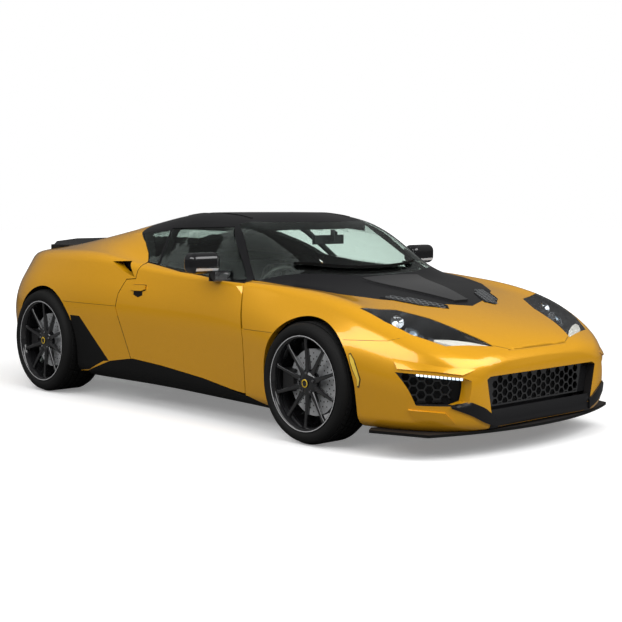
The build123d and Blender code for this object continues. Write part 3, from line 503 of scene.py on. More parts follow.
def tread(centre, side, shoulder, base, radius):
    """Staggered ribs of blocks round a tyre, between its shoulders."""
    blocks = []
    step = 2 * math.pi / TREAD_PITCHES
    for pitch in range(TREAD_PITCHES):
        for rib, (near, far) in enumerate(zip(TREAD_RIBS, TREAD_RIBS[1:])):
            edges = [side * (near * shoulder + GROOVE_HALF), side * (far * shoulder - GROOVE_HALF)]
            start = (pitch + rib * BLOCK_STAGGER) * step
            blocks.append(tread_block(centre, (start, start + step * BLOCK_SHARE),
                                      (base - TREAD_ROOT, radius), edges,
                                      (rib - MIDDLE_RIB) * BLOCK_SKEW))
    return joined(blocks)


def wheel_spokes(centre, out, face, lip):
    """Slim spokes from the hub to the lip, chamfered in front and narrower behind."""
    stations = ((0.060, 0.017, -0.020, 0.026), (0.120, 0.0125, -0.016, 0.024),
                (lip - 0.050, 0.0095, -0.008, 0.020), (lip - 0.014, 0.015, -0.006, 0.022))
    spokes = []
    for spoke in range(SPOKES):
        turn = 2 * math.pi * (spoke + 0.5) / SPOKES
        along = Vector((math.cos(turn), 0, math.sin(turn)))
        across = Vector((-math.sin(turn), 0, math.cos(turn)))
        rings = []
        for along_by, width, front, depth in stations:
            rim_points = ((-width, front - 0.004), (-width * 0.55, front), (width * 0.55, front),
                          (width, front - 0.004), (width * 0.7, front - depth),
                          (-width * 0.7, front - depth))
            rings.append([Vector(centre) + along * along_by + across * across_by
                          + out * (face + out_by) for across_by, out_by in rim_points])
        spokes.append(skinned(rings))
    return joined(spokes)


def wheel_bolts(centre, out, face):
    """Bolts in a ring round the hub, each turned with a chamfered head."""
    nut = [(0.0, face - 0.010), (0.006, face - 0.010), (0.0085, face - 0.013), (0.0085, face - 0.030),
           (0.0, face - 0.030)]
    turns = [2 * math.pi * (bolt + 0.25) / BOLTS for bolt in range(BOLTS)]
    bolts = [lathe(nut, 12, around(centre, BOLT_CIRCLE_RADIUS, turn), out, NUT_TURN) for turn in turns]
    return joined(bolts)


for wheel in WHEELS:
    low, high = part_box(wheel + "_tyre")
    rim_low, rim_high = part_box(wheel + "_rim")
    body = wheel + "_wheel"
    side = 1 if low[1] > 0 else -1
    centre = [(a + b) / 2 for a, b in zip(low, high)]
    out = Vector((0, side, 0))
    radius = (high[0] - low[0]) / 2
    half = (high[1] - low[1]) / 2
    lip = (rim_high[0] - rim_low[0]) / 2
    base = radius - TREAD_DEPTH
    shoulder = half - SHOULDER_WIDTH
    sidewall = [(lip - 0.018, half - 0.016), (lip - 0.001, half - 0.014), (lip + 0.002, half - 0.006),
                (lip + 0.010, half - 0.003), (lip + 0.014, half - 0.0005), (lip + 0.030, half),
                (lip + 0.034, half - 0.0015), (lip + 0.045, half - 0.003), (base - 0.006, half - 0.014),
                (base - 0.001, shoulder + 0.004), (base, shoulder)]
    outline = sidewall + [(r, -y) for r, y in reversed(sidewall)]
    carcass = new_piece(wheel + "_carcass", *lathe(outline, 128, centre, out), tyre_rubber, body, 50)
    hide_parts(wheel + "_tyre")
    new_piece(wheel + "_tread", *tread(centre, side, shoulder, base, radius), tyre_rubber, body, 20)

    barrel = [(lip - 0.004, half - 0.012), (lip - 0.002, half - 0.006), (lip - 0.006, half - 0.005),
              (lip - 0.014, half - 0.008), (lip - 0.022, half - 0.022), (lip - 0.030, half - 0.060),
              (lip - 0.032, -half + 0.030), (lip - 0.022, -half + 0.014), (lip - 0.004, -half + 0.008),
              (lip - 0.004, -half + 0.014), (lip - 0.018, -half + 0.018), (lip - 0.026, half - 0.060),
              (lip - 0.018, half - 0.018)]
    rim = new_piece(wheel + "_rim_barrel", *lathe(barrel, 96, centre, out), gloss_black, body, 40)
    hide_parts(wheel + "_rim")
    ring = [(lip - 0.0045, half - 0.0045), (lip - 0.0085, half - 0.0045), (lip - 0.0085, half - 0.007),
            (lip - 0.0045, half - 0.007)]
    new_piece(wheel + "_lip_line", *lathe(ring, 96, centre, out), machined_lip, body)
    face = half - FACE_SET_BACK
    hub = [(0.0, face - 0.012), (0.030, face - 0.012), (0.040, face - 0.014), (0.062, face - 0.020),
           (0.072, face - 0.030), (0.074, face - 0.052), (0.034, face - 0.052), (0.034, face - 0.026),
           (0.0, face - 0.026)]
    new_piece(wheel + "_hub", *lathe(hub, 48, centre, out), gloss_black, body, 40)
    cap = [(0.0, face - 0.004), (0.020, face - 0.004), (0.024, face - 0.006), (0.026, face - 0.014),
           (0.0, face - 0.014)]
    new_piece(wheel + "_cap", *lathe(cap, 40, centre, out), gloss_black, body)
    cap_ring = [(0.017, face - 0.0032), (0.022, face - 0.0045), (0.022, face - 0.008),
                (0.017, face - 0.008)]
    new_piece(wheel + "_cap_ring", *lathe(cap_ring, 40, centre, out), cap_yellow, body)
    new_piece(wheel + "_spokes", *wheel_spokes(centre, out, face, lip), gloss_black, body, 30, 0.0015)
    new_piece(wheel + "_bolts", *wheel_bolts(centre, out, face), bolt_steel, body)

# --- Shut lines and small lenses on the panels ---
# Where two fixed mouldings meet there is a 2 mm joint with a dark rubber bead. The markers
# on the bumper's flanks are amber lenses, each on a dark bed.
joint_bead = make_finish("joint_bead", (0.02, 0.012, 0.006), 0.6, 0.7, 500, 0.1)
amber_lens = make_finish("amber_lens", (1.0, 0.62, 0.05), 0.06, 0.12, 80, 0.05,
                         (1.0, 0.75, 0.12), Coat_Weight=1.0)
FAR_OFF = 3.0
STRIP_STEP = 0.02
STRIP_ROOT = -0.003
JOINT_HALF = 0.001
JOINT_PROUD = 0.0004
CABIN_MIDDLE = Vector((0, 0, 0.4))


def on_panel(names, view, u, v):
    """Where a ray from a side, the front or the top first meets some pieces, and the normal."""
    start, way = {"right": ((u, -FAR_OFF, v), (0, 1, 0)), "left": ((u, FAR_OFF, v), (0, -1, 0)),
                  "front": ((FAR_OFF, u, v), (-1, 0, 0)), "top": ((u, v, FAR_OFF), (0, 0, -1))}[view]
    hits = [panel_tree(name).ray_cast(Vector(start), Vector(way)) for name in names]
    hits = [(distance, place, normal) for place, normal, _, distance in hits if place]
    if not hits:
        return None
    _, place, normal = min(hits, key=lambda hit: hit[0])
    return place, (-normal if normal.dot(Vector(way)) > 0 else normal)


def laid_strip(name, names, view, stations, material, body, proud, root=STRIP_ROOT):
    """A thin lens or bead on the panels through (u, v, half width), left out if it runs off them."""
    line = []
    for a, b in zip(stations, stations[1:]):
        steps = max(1, int(math.hypot(b[0] - a[0], b[1] - a[1]) / STRIP_STEP))
        line += [Vector(a).lerp(Vector(b), step / steps) for step in range(steps)]
    line.append(Vector(stations[-1]))
    rings = []
    for before, here, after in zip(line[:1] + line, line, line[1:] + line[-1:]):
        run = (after - before).xy.normalized()
        spots = [on_panel(names, view, here.x - run.y * half, here.y + run.x * half)
                 for half in (-here.z, here.z)]
        if None in spots:
            return None
        (first, first_way), (second, second_way) = spots
        rings.append([first + first_way * proud, second + second_way * proud,
                      second + second_way * root, first + first_way * root])
    return new_piece(name, *skinned(rings), material, body)


def plate(name, rows, thick, material, body, sharp=40):
    """A thin curved plate: rows of points on its outer face, and its back a thickness behind."""
    columns = len(rows[0])
    vertices, faces = [], []
    for row in range(len(rows)):
        for column in range(columns):
            down = rows[min(row + 1, len(rows) - 1)][column] - rows[max(row - 1, 0)][column]
            along = rows[row][min(column + 1, columns - 1)] - rows[row][max(column - 1, 0)]
            normal = down.cross(along).normalized()
            if normal.dot(rows[row][column] - CABIN_MIDDLE) < 0:
                normal = -normal
            vertices += [rows[row][column], rows[row][column] - normal * thick]
    for row in range(len(rows) - 1):
        for column in range(columns - 1):
            a = 2 * (row * columns + column)
            corners = (a, a + 2, a + 2 * columns + 2, a + 2 * columns)
            faces += [corners, tuple(c + 1 for c in reversed(corners))]
            edges = ((row == 0, a, a + 2), (row == len(rows) - 2, a + 2 * columns + 2, a + 2 * columns),
                     (column == 0, a + 2 * columns, a),
                     (column == columns - 2, a + 2, a + 2 * columns + 2))
            faces += [(one, one + 1, two + 1, two) for here, one, two in edges if here]
    return new_piece(name, vertices, faces, material, body, sharp)


def between(edge, count):
    """Points spread evenly along a line of points."""
    lengths = [0.0]
    for a, b in zip(edge, edge[1:]):
        lengths.append(lengths[-1] + (Vector(b) - Vector(a)).length)
    spread = []
    for index in range(count):
        reach = lengths[-1] * index / (count - 1)
        part = max(k for k in range(len(edge) - 1) if lengths[k] <= reach + 1e-9)
        share = (reach - lengths[part]) / max(1e-9, lengths[part + 1] - lengths[part])
        spread.append(Vector(edge[part]).lerp(Vector(edge[part + 1]), share))
    return spread


def laid_rows(names, view, upper, lower, count, steps, proud):
    """Rows of points on the panels, spread between two edges drawn in a view."""
    first, last = between(upper, count), between(lower, count)
    rows = []
    for step in range(steps + 1):
        row = [on_panel(names, view, *a.lerp(b, step / steps)) for a, b in zip(first, last)]
        rows.append([place + normal * proud for place, normal in row])
    return rows


NOSE = ("front_clam", "front_bumper", "side_panels")
TAIL = ("rear_clam", "rear_bumper", "side_panels")
for side_name, side in SIDES:
    for joint, names, view, line in (
        ("bumper", NOSE, side_name, ((1.552, 0.575), (1.80, 0.583), (1.860, 0.603))),
        ("nose", NOSE, "top", ((2.122, side * 0.240), (2.087, side * 0.318))),
        ("wing", NOSE, side_name, ((0.77, 0.571), (1.025, 0.571))),
        ("quarter", TAIL, side_name, ((-0.475, 0.622), (-1.035, 0.622))),
    ):
        stations = [(*point, JOINT_HALF) for point in line]
        laid_strip(f"{side_name}_{joint}_joint", names, view, stations, joint_bead, "body", JOINT_PROUD)
    for part, material, proud, stations in (
        ("marker_bed", joint_bead, 0.0012, ((1.611, 0.511, 0.006), (1.630, 0.475, 0.016),
         (1.650, 0.430, 0.016), (1.670, 0.385, 0.012), (1.662, 0.342, 0.006))),
        ("marker", amber_lens, 0.003, ((1.613, 0.505, 0.004), (1.630, 0.475, 0.011),
         (1.650, 0.430, 0.011), (1.668, 0.385, 0.008), (1.662, 0.350, 0.003))),
    ):
        laid_strip(f"{side_name}_{part}", NOSE, side_name, stations, material, "body", proud)

# --- Door handles ---
# A painted flap hinged at its top edge, over a finger recess in the door. The recess is a flat dark strip
# on the door, painted shade for its hollow, and a dark rim just round the flap is painted shadow along its
# gap.
for side_name, _ in SIDES:
    door = side_name + "_door"
    for part, material, proud, stations in (
        # The recess is not cut in: this dark strip is painted shade for its hollow.
        ("handle_recess", moulded_black, 0.0006, ((-0.300, 0.712, 0.010), (-0.255, 0.708, 0.021),
         (-0.215, 0.715, 0.014))),
        # A dark rim just beyond the flap's edges: painted shadow along the gap round it.
        ("handle_gap", joint_bead, 0.0012, ((-0.326, 0.742, 0.016), (-0.300, 0.742, 0.021),
         (-0.220, 0.745, 0.022), (-0.186, 0.750, 0.016))),
        ("handle", yellow_lacquer, 0.009, ((-0.322, 0.742, 0.012), (-0.300, 0.742, 0.017),
         (-0.220, 0.745, 0.018), (-0.190, 0.750, 0.012))),
    ):
        laid_strip(f"{door}_{part}", (door,), side_name, stations, material, door, proud)

# --- Mirror strips and roof ridges ---
# Each mirror housing carries a silver blade with its repeater along the lower front edge, and
# two low ribs run the length of the roof.
strip_silver = make_finish("strip_silver", (0.80, 0.81, 0.83), 0.25, 0.35, 150, 0.02, Metallic=0.2)
for side_name, side in SIDES:
    door = side_name + "_door"
    blade = laid_rows((door + "_mirror",), "front", [(side * 0.985, 0.898), (side * 0.830, 0.894)],
                      [(side * 0.985, 0.884), (side * 0.830, 0.883)], 9, 1, 0.002)
    plate(side_name + "_mirror_strip", blade, 0.004, strip_silver, door)
    crest = laid_rows(("roof_panel",), "top", [(0.30, side * 0.415), (-0.40, side * 0.355)],
                      [(0.30, side * 0.400), (-0.40, side * 0.340)], 24, 2, 0.004)
    for point in (point for row in crest for point in row):
        point.z = min(point.z, cad_box[1][2])
    plate(side_name + "_roof_rib", crest, 0.007, satin_black, "body")

# --- Headlamps ---
# Behind each clear cover a gloss black bowl holds a projector with a glass eye, a smaller
# reflector behind it and a pale indicator that tapers into the front tip. The indicator's glow
# is painted light, standing in for lamplight that reaches it through the cover.
silver_reflector = make_finish("silver_reflector", (0.75, 0.77, 0.79), 0.08, 0.18, 90, 0.06,
                               (0.85, 0.87, 0.9), Metallic=1.0)
# Pale in its own colour; its glow is painted light, since the indicator is not lit.
indicator_lens = make_finish("indicator_lens", (0.80, 0.80, 0.78), 0.15, 0.25, 90, 0.3,
                             (0.90, 0.84, 0.70), Emission_Strength=0.42,
                             Emission_Color=(1, 0.93, 0.8, 1))
eye_glass = make_finish("eye_glass", (0.25, 0.32, 0.38), 0.02, 0.05, 60, 0.0, Coat_Weight=1.0,
                        Metallic=0.6)
PROJECTOR = [(0.0, 0.0), (0.036, 0.0), (0.044, 0.012), (0.050, 0.014), (0.054, 0.006),
             (0.052, -0.045), (0.0, -0.050)]
PROJECTOR_EYE = [(0.0, 0.020), (0.014, 0.018), (0.026, 0.011), (0.034, 0.001), (0.0, 0.0005)]
REFLECTOR = [(0.0, -0.010), (0.020, -0.004), (0.032, 0.010), (0.036, 0.012), (0.036, 0.0),
             (0.024, -0.022), (0.0, -0.026)]
LAMP_PIECES = ("headlamp_lenses", "headlamp_units", "front_bumper")
for side_name, side in SIDES:
    eye, behind = (1.80, side * 0.600, 0.590), (1.700, side * 0.620, 0.655)
    look = (0.80, side * 0.30, 0.45)
    for part, profile, steps, place, material in (
        ("projector", PROJECTOR, 40, eye, gloss_black),
        ("projector_eye", PROJECTOR_EYE, 32, eye, eye_glass),
        ("reflector", REFLECTOR, 32, behind, silver_reflector),
    ):
        new_piece(f"{side_name}_{part}", *lathe(profile, steps, place, look), material, "body")
    stations = [(x, side * y, width) for x, y, width in (
        (1.945, 0.600, 0.008), (1.990, 0.530, 0.024), (2.040, 0.430, 0.020), (2.080, 0.345, 0.006))]
    laid_strip(side_name + "_indicator", LAMP_PIECES, "top", stations, indicator_lens, "body",
               -0.012, -0.022)

# --- Nose: vents, spine, flares, light strips, splitter blades and ducts ---
# Moulded honeycomb vents flank the access panel's gloss spine. Each side grille has twelve LED
# cells and a flared brow and sill; a black foot and two blades join them to the splitter.
def make_scatter():
    """A geometry tree that sets a copy of one object, turned to the surface, on every point."""
    tree = bpy.data.node_groups.new("set_on_points", "GeometryNodeTree")
    tree.interface.new_socket("Points", in_out="INPUT", socket_type="NodeSocketGeometry")
    tree.interface.new_socket("Part", in_out="INPUT", socket_type="NodeSocketObject")
    tree.interface.new_socket("Size", in_out="INPUT", socket_type="NodeSocketFloat").default_value = 1
    tree.interface.new_socket("Finish", in_out="INPUT", socket_type="NodeSocketMaterial")
    tree.interface.new_socket("Pieces", in_out="OUTPUT", socket_type="NodeSocketGeometry")
    start = tree.nodes.new("NodeGroupInput")
    end = tree.nodes.new("NodeGroupOutput")
    part = tree.nodes.new("GeometryNodeObjectInfo")
    facing = tree.nodes.new("GeometryNodeInputNamedAttribute")
    facing.data_type = "FLOAT_VECTOR"
    facing.inputs["Name"].default_value = "facing"
    turn = tree.nodes.new("FunctionNodeAlignRotationToVector")
    turn.axis = "Z"
    copies = tree.nodes.new("GeometryNodeInstanceOnPoints")
    whole = tree.nodes.new("GeometryNodeRealizeInstances")
    coat = tree.nodes.new("GeometryNodeSetMaterial")
    tree.links.new(start.outputs["Part"], part.inputs["Object"])
    tree.links.new(facing.outputs["Attribute"], turn.inputs["Vector"])
    tree.links.new(start.outputs["Points"], copies.inputs["Points"])
    tree.links.new(part.outputs["Geometry"], copies.inputs["Instance"])
    tree.links.new(turn.outputs["Rotation"], copies.inputs["Rotation"])
    tree.links.new(start.outputs["Size"], copies.inputs["Scale"])
    tree.links.new(copies.outputs["Instances"], whole.inputs["Geometry"])
    tree.links.new(whole.outputs["Geometry"], coat.inputs["Geometry"])
    tree.links.new(start.outputs["Finish"], coat.inputs["Material"])
    tree.links.new(coat.outputs["Geometry"], end.inputs["Pieces"])
    return tree


set_on_points = make_scatter()


def scatter(name, spots, part_shape, size, material, body):
    """Copies of a small shape on a list of (place, normal) spots, made one plain mesh."""
    part = bpy.data.objects.new(name + "_part", shaped(name + "_part", *part_shape))
    cloud = bpy.data.meshes.new(name + "_points")
    cloud.from_pydata([place for place, _ in spots], [], [])
    facing = cloud.attributes.new("facing", "FLOAT_VECTOR", "POINT")
    for index, (_, normal) in enumerate(spots):
        facing.data[index].vector = normal
    holder = bpy.data.objects.new(name + "_points", cloud)
    scene.collection.objects.link(holder)
    maker = holder.modifiers.new("copies", "NODES")
    maker.node_group = set_on_points
    for label, value in (("Part", part), ("Size", size), ("Finish", material)):
        maker[set_on_points.interface.items_tree[label].identifier] = value
    bpy.context.view_layer.update()
    evaluated = holder.evaluated_get(bpy.context.evaluated_depsgraph_get())
    mesh = bpy.data.meshes.new_from_object(evaluated)
    bpy.data.objects.remove(holder)
    bpy.data.objects.remove(part)
    mesh.name = name
    piece = bpy.data.objects.new(name, mesh)
    scene.collection.objects.link(piece)
    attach(piece, body)
    return piece


def hexagon_ring(outer, inner, depth):
    """A six-sided ring lying in XY, from depth below to the plane."""
    section = ((outer, 0), (inner, 0), (inner, -depth), (outer, -depth))
    turns = [math.pi * corner / 3 for corner in range(6)]
    return skinned([[(radius * math.cos(turn), radius * math.sin(turn), height)
                     for radius, height in section] for turn in turns], looped=True)


def edge_at(edge, x):
    """The y of a line of (x, y) points at one x, or None beyond its ends."""
    for a, b in zip(edge, edge[1:]):
        if a[0] <= x <= b[0]:
            return a[1] + (b[1] - a[1]) * (x - a[0]) / (b[0] - a[0])
    return None


HOOD = ("bonnet_panel", "front_clam")
SPINE_EDGE = ((1.06, 0.230), (1.35, 0.150), (1.60, 0.055))
VENT_INNER = [(1.400, 0.360), (1.470, 0.262), (1.550, 0.208), (1.636, 0.155)]
VENT_OUTER = [(1.400, 0.435), (1.470, 0.405), (1.590, 0.330), (1.684, 0.195)]
VENT_START = (1.42, 0.15)
VENT_CELLS = 9
VENT_PROUD = 0.0025
CELL = 0.032
CELL_PROUD = 0.006
CELL_RADIUS = CELL * 0.60
ROW_PITCH = CELL * 0.92
POST_PITCH = CELL * 1.06
# One black: the radiator core is black itself, while on the vent floors, duct backs and disc holes it is
# painted shade standing in for openings.
vent_black = make_finish("vent_black", (0.006, 0.006, 0.007), 0.45, 0.6, 300, 0.1)
vent_mesh = make_finish("vent_mesh", (0.14, 0.145, 0.15), 0.2, 0.3, 300, 0.1)
led_white = make_finish("led_white", (0.85, 0.93, 1.0), 0.2, 0.3, 80, 0.0,
                        Emission_Color=(0.7, 0.87, 1, 1), Emission_Strength=1.2)
spine = laid_rows(HOOD, "top", [(x, -y) for x, y in SPINE_EDGE], SPINE_EDGE, 24, 12, 0.010)
plate("bonnet_spine", spine, 0.014, gloss_black, "body", 30)
for side_name, side in SIDES:
    inner = [(x, y * side) for x, y in VENT_INNER]
    outer = [(x, y * side) for x, y in VENT_OUTER]
    rows = laid_rows(HOOD, "top", inner, outer, 20, 8, VENT_PROUD)
    # Under each vent's honeycomb a dark sheet is painted shade standing in for the opening behind it.
    plate(side_name + "_vent_floor", rows, 0.004, vent_black, "body")
    cells = []
    for line in range(VENT_CELLS):
        for post in range(VENT_CELLS):
            x = VENT_START[0] + line * ROW_PITCH
            y = VENT_START[1] + (post + 0.5 * (line % 2)) * POST_PITCH
            low, high = edge_at(VENT_INNER + VENT_OUTER[-1:], x), edge_at(VENT_OUTER, x)
            if low is None or high is None or not low + CELL / 2 < y < high - CELL / 2:
                continue
            place, normal = on_panel(HOOD, "top", x, side * y)
            cells.append((place + normal * CELL_PROUD, normal))
    scatter(side_name + "_vent_mesh", cells, hexagon_ring(1.0, 0.82, 0.3), CELL_RADIUS,
            vent_mesh, "body")

BUMPER = ("front_bumper",)
LED_COUNT = 12
LED_SHARE = 0.78
LED_HALF = Vector((0, 0, 0.005))
FLARE_STEPS = 6
FLARES = (
    ("brow", ((0.795, 0.500), (0.666, 0.466), (0.520, 0.450)),
     ((0.792, 0.451), (0.684, 0.441), (0.592, 0.425)), (0.001, 0.010)),
    ("sill", ((0.760, 0.250), (0.710, 0.246), (0.655, 0.240)),
     ((0.735, 0.190), (0.700, 0.184), (0.610, 0.180)), (0.010, 0.001)),
)
BLADE_STEPS = 4
BLADE_REACH = 0.05
BLADE_CLEAR = 0.010
FOOT_HALF = 0.425
FOOT_SHELF = ((0.016, 0.236), (0.004, 0.200))
for side_name, side in SIDES:
    cells = between([(1.957, side * 0.748, 0.4235), (2.045, side * 0.668, 0.4125),
                     (2.116, side * 0.576, 0.400)], LED_COUNT + 1)
    back = Vector((0.68, side * 0.73, 0)) * -0.02
    leds = []
    for start, after in zip(cells, cells[1:]):
        leds.append(skinned([[end + LED_HALF, end + LED_HALF + back, end - LED_HALF + back, end - LED_HALF]
                             for end in (start, start.lerp(after, LED_SHARE))]))
    new_piece(side_name + "_led_strip", *joined(leds), led_white, "body", 30, 0.002)
    for flare, upper, lower, lifts in FLARES:
        upper = [(side * y, z) for y, z in upper]
        lower = [(side * y, z) for y, z in lower]
        first, last = [laid_rows(BUMPER, "front", upper, lower, 16, FLARE_STEPS, lift) for lift in lifts]
        rows = [[a.lerp(b, step / FLARE_STEPS) for a, b in zip(*pair)]
                for step, pair in enumerate(zip(first, last))]
        plate(f"{side_name}_grille_{flare}", rows, 0.012, yellow_lacquer, "body", 30)
    top_edge = between([(2.092, side * 0.640, 0.276), (2.137, side * 0.558, 0.292),
                        (2.166, side * 0.475, 0.256), (2.176, side * 0.400, 0.205)], 14)
    foot_edge = between([(2.092, side * 0.640, 0.262), (2.138, side * 0.550, 0.222),
                         (2.166, side * 0.470, 0.180), (2.176, side * 0.400, 0.156)], 14)
    blade = [[p.lerp(q, step / BLADE_STEPS) for p, q in zip(top_edge, foot_edge)]
             for step in range(BLADE_STEPS + 1)]
    for point in (point for row in blade for point in row):
        found = on_panel(BUMPER, "front", point.y, point.z)
        if found and found[0].x > point.x - BLADE_REACH:
            point.x = max(point.x, found[0].x + BLADE_CLEAR)
    plate(side_name + "_splitter_blade", blade, 0.010, satin_black, "body")
    # Behind each side grille a dark sheet is painted shade standing in for the depth of the duct.
    duct = [[Vector((1.795, side * 0.745, z)), Vector((2.085, side * 0.475, z))] for z in (0.455, 0.24)]
    plate(side_name + "_duct_back", duct, 0.006, vent_black, "body")
foot = laid_rows(BUMPER, "front", [(-FOOT_HALF, 0.172), (FOOT_HALF, 0.172)],
                 [(-FOOT_HALF, 0.146), (FOOT_HALF, 0.146)], 24, 3, 0.003)
shelf = [[Vector((p.x - back, p.y, height)) for p in foot[0]] for back, height in FOOT_SHELF]
plate("grille_foot", shelf + foot, 0.008, satin_black, "body")
core = [[Vector((2.035, y, z)) for y in (-0.44, 0.44)] for z in (0.42, 0.18)]
plate("radiator_core", core, 0.02, vent_black, "body")

# --- Brake disc drillings ---
# Each cast iron disc is cross-drilled with rings of small holes that vent and clean the pads.
HOLE_RINGS = ((0.108, 0.0), (0.124, 0.5), (0.140, 0.0), (0.156, 0.5))
HOLES_IN_RING = 18
HOLE_RADIUS = 0.0042
HOLE_PROUD = 0.0004
# The holes are not cut through: dark plugs laid on each disc face are painted shade standing in for them.
hole_turns = [k * math.pi / 4 for k in range(8)]
hole_shade_plug = skinned([[(math.cos(turn), math.sin(turn), height) for turn in hole_turns]
                     for height in (0, -0.3)])
for wheel in WHEELS:
    low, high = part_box(wheel + "_disc")
    centre = [(a + b) / 2 for a, b in zip(low, high)]
    view = "left" if low[1] > 0 else "right"
    holes = []
    for ring_radius, shift in HOLE_RINGS:
        for hole in range(HOLES_IN_RING):
            x, _, z = around(centre, ring_radius, 2 * math.pi * (hole + shift) / HOLES_IN_RING)
            place, normal = on_panel((wheel + "_disc",), view, x, z)
            holes.append((place + normal * HOLE_PROUD, normal))
    scatter(wheel + "_disc_holes", holes, hole_shade_plug, HOLE_RADIUS, vent_black, wheel + "_wheel")

# --- Seats ---
# Two fixed-back sports seats: foam on a shell, covered in fine-grained black leather with
# raised side bolsters and a row of sewn channels across the middle.
seat_leather = make_finish("seat_leather", (0.022, 0.019, 0.018), 0.42, 0.58, 420, 0.45,
                           (0.034, 0.030, 0.028), Sheen_Weight=0.15)
SEAT_Y = 0.355
SEAT_HALF = 0.222
SEAT_LINE = ((0.322, 0.345, 0.10, 0.90), (0.200, 0.352, 0.12, 1.0), (0.050, 0.335, 0.12, 1.0),
             (-0.100, 0.318, 0.11, 0.96), (-0.165, 0.420, 0.085, 0.94), (-0.215, 0.560, 0.085, 0.98),
             (-0.262, 0.700, 0.08, 0.92), (-0.300, 0.800, 0.07, 0.66), (-0.322, 0.868, 0.05, 0.56))
SEAT_FRONT = ((-1.0, -0.3), (-0.96, 0.30), (-0.78, 0.42), (-0.55, 0.02), (-0.2, -0.05),
              (0.2, -0.05), (0.55, 0.02), (0.78, 0.42), (0.96, 0.30), (1.0, -0.3))
SEAT_BACK = (0.85, 0.3, -0.3, -0.85)
SEAT_BACK_DEPTH = 0.85
SEAT_VOXEL = 0.010
COVER_PRESSURE = 4
COVER_FRAMES = 20
SWELL_LIMIT = 0.012
CHANNEL_PITCH = 0.075
CHANNEL_DEEP = 0.006
CHANNEL_WIDTH = 0.09
CHANNEL_REACH = 0.135
CHANNEL_FADE = 0.02
SITTING_SIDE = 0.5
CUSHION_TOP = 0.40


def plain_copy(source, name):
    """The evaluated shape of an object as a plain mesh, without its modifiers."""
    bpy.context.view_layer.update()
    evaluated = source.evaluated_get(bpy.context.evaluated_depsgraph_get())
    mesh = bpy.data.meshes.new_from_object(evaluated)
    mesh.name = name
    source.modifiers.clear()
    source.data = mesh


def swell(cushion):
    """Foam pressing its cover out: cloth under pressure, held to a limit at each point."""
    start = [v.co.copy() for v in cushion.data.vertices]
    cloth = cushion.modifiers.new("cover", "CLOTH")
    cloth.settings.use_pressure = True
    cloth.settings.uniform_pressure_force = COVER_PRESSURE
    cloth.settings.effector_weights.gravity = 0
    for frame_number in range(1, COVER_FRAMES + 1):
        scene.frame_set(frame_number)
    plain_copy(cushion, cushion.name)
    scene.frame_set(1)
    for vertex, before in zip(cushion.data.vertices, start):
        move = vertex.co - before
        if move.length > SWELL_LIMIT:
            vertex.co = before + move.normalized() * SWELL_LIMIT


def sew(cushion, middle):
    """Channels stitched across the middle of the seat and the backrest."""
    mesh = cushion.data
    for vertex, way in zip(mesh.vertices, [v.normal.copy() for v in mesh.vertices]):
        across = abs(vertex.co.y - middle)
        if across > CHANNEL_REACH or way.x + way.z < SITTING_SIDE:
            continue
        run = vertex.co.x if vertex.co.z < CUSHION_TOP else vertex.co.z
        off = (run / CHANNEL_PITCH) % 1 - 0.5
        fade = min(1.0, (CHANNEL_REACH - across) / CHANNEL_FADE)
        vertex.co -= way * CHANNEL_DEEP * fade * math.exp(-(off / CHANNEL_WIDTH) ** 2)


for side_name, side in SIDES:
    middle = side * SEAT_Y
    rows = []
    for index, (x, z, thick, share) in enumerate(SEAT_LINE):
        before = SEAT_LINE[max(0, index - 1)]
        after = SEAT_LINE[min(len(SEAT_LINE) - 1, index + 1)]
        run = Vector((after[0] - before[0], 0, after[1] - before[1])).normalized()
        up = Vector((run.z, 0, -run.x))
        front = [Vector((x, middle + across * SEAT_HALF * share, z)) + up * lift * thick
                 for across, lift in SEAT_FRONT]
        rows.append(front + [Vector((x, middle + across * SEAT_HALF * share, z))
                             - up * thick * SEAT_BACK_DEPTH for across in SEAT_BACK])
    seat = new_piece(side_name + "_seat", *skinned(rows), seat_leather, "body", 80)
    rounding = seat.modifiers.new("rounding", "SUBSURF")
    rounding.levels = rounding.render_levels = 3
    plain_copy(seat, seat.name)
    even = seat.modifiers.new("even", "REMESH")
    even.mode = "VOXEL"
    even.voxel_size = SEAT_VOXEL
    plain_copy(seat, seat.name)
    swell(seat)
    finer = seat.modifiers.new("finer", "SUBSURF")
    finer.levels = finer.render_levels = 1
    plain_copy(seat, seat.name)
    sew(seat, middle)
    for polygon in seat.data.polygons:
        polygon.use_smooth = True
    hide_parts("seats")


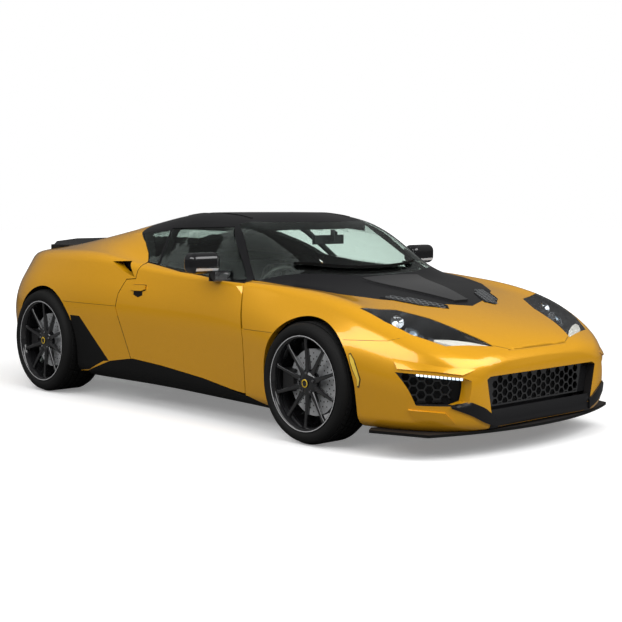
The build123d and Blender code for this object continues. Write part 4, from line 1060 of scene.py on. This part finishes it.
# --- Steering wheel ---
# A leather-bound round rim on three dark steel spokes, with a plain centre pad and column.
GRIP_RADIUS = 0.0135
RIM_RADIUS = 0.171
SPOKE_HALF_THICK = 0.006
SPOKE_STATIONS = ((0.045, 0.026), (0.110, 0.015), (0.166, 0.020))
rim_middle = Vector((0.470, -0.355, 0.720))
rim_axis = Vector((-0.92, 0, 0.39)).normalized()
grip = [(RIM_RADIUS + GRIP_RADIUS * math.cos(k * math.pi / 6), GRIP_RADIUS * math.sin(k * math.pi / 6))
        for k in range(12)]
wheel_rim = new_piece("steering_rim", *lathe(grip, 64, rim_middle, rim_axis), seat_leather, "body", 80)
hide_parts("steering_wheel")
pad = [(0.0, 0.016), (0.040, 0.014), (0.058, 0.004), (0.062, -0.012), (0.040, -0.030),
       (0.030, -0.150), (0.0, -0.150)]
new_piece("steering_pad", *lathe(pad, 40, rim_middle, rim_axis), cabin_trim, "body")
side_way = Vector((0, 1, 0))
up_way = rim_axis.cross(side_way)
spokes = []
for spoke_turn in (0.0, math.pi, -math.pi / 2):
    along = side_way * math.cos(spoke_turn) + up_way * math.sin(spoke_turn)
    across = rim_axis.cross(along)
    spokes.append(skinned([[rim_middle + along * reach + across * half * a + rim_axis * SPOKE_HALF_THICK * b
                            for a, b in ((-1, 1), (1, 1), (1, -1), (-1, -1))]
                           for reach, half in SPOKE_STATIONS]))
new_piece("steering_spokes", *joined(spokes), dark_steel, "body", 30, 0.002)

# --- Wiper ---
# One arm of black pressed steel with a rubber blade, parked along the foot of the screen.
SCREEN_CORNER_X = 0.735
SCREEN_MIDDLE_X = 1.030
SCREEN_FOOT_HALF = 0.745
WIPER_BACK = 0.075
WIPER_END = -0.52
WIPER_STEP = 0.075
WIPER_SECTION = ((0.004, -0.012), (0.022, -0.008), (0.022, 0.008), (0.004, 0.012))
rings = []
for step in range(13):
    y = WIPER_END + step * WIPER_STEP
    bow = 1 - (y / SCREEN_FOOT_HALF) ** 2
    x = SCREEN_CORNER_X + (SCREEN_MIDDLE_X - SCREEN_CORNER_X) * bow - WIPER_BACK
    place, normal = on_panel(("windscreen",), "top", x, y)
    rings.append([place + normal * lift + Vector((wide, 0, 0)) for lift, wide in WIPER_SECTION])
new_piece("wiper", *skinned(rings), moulded_black, "body", 40)
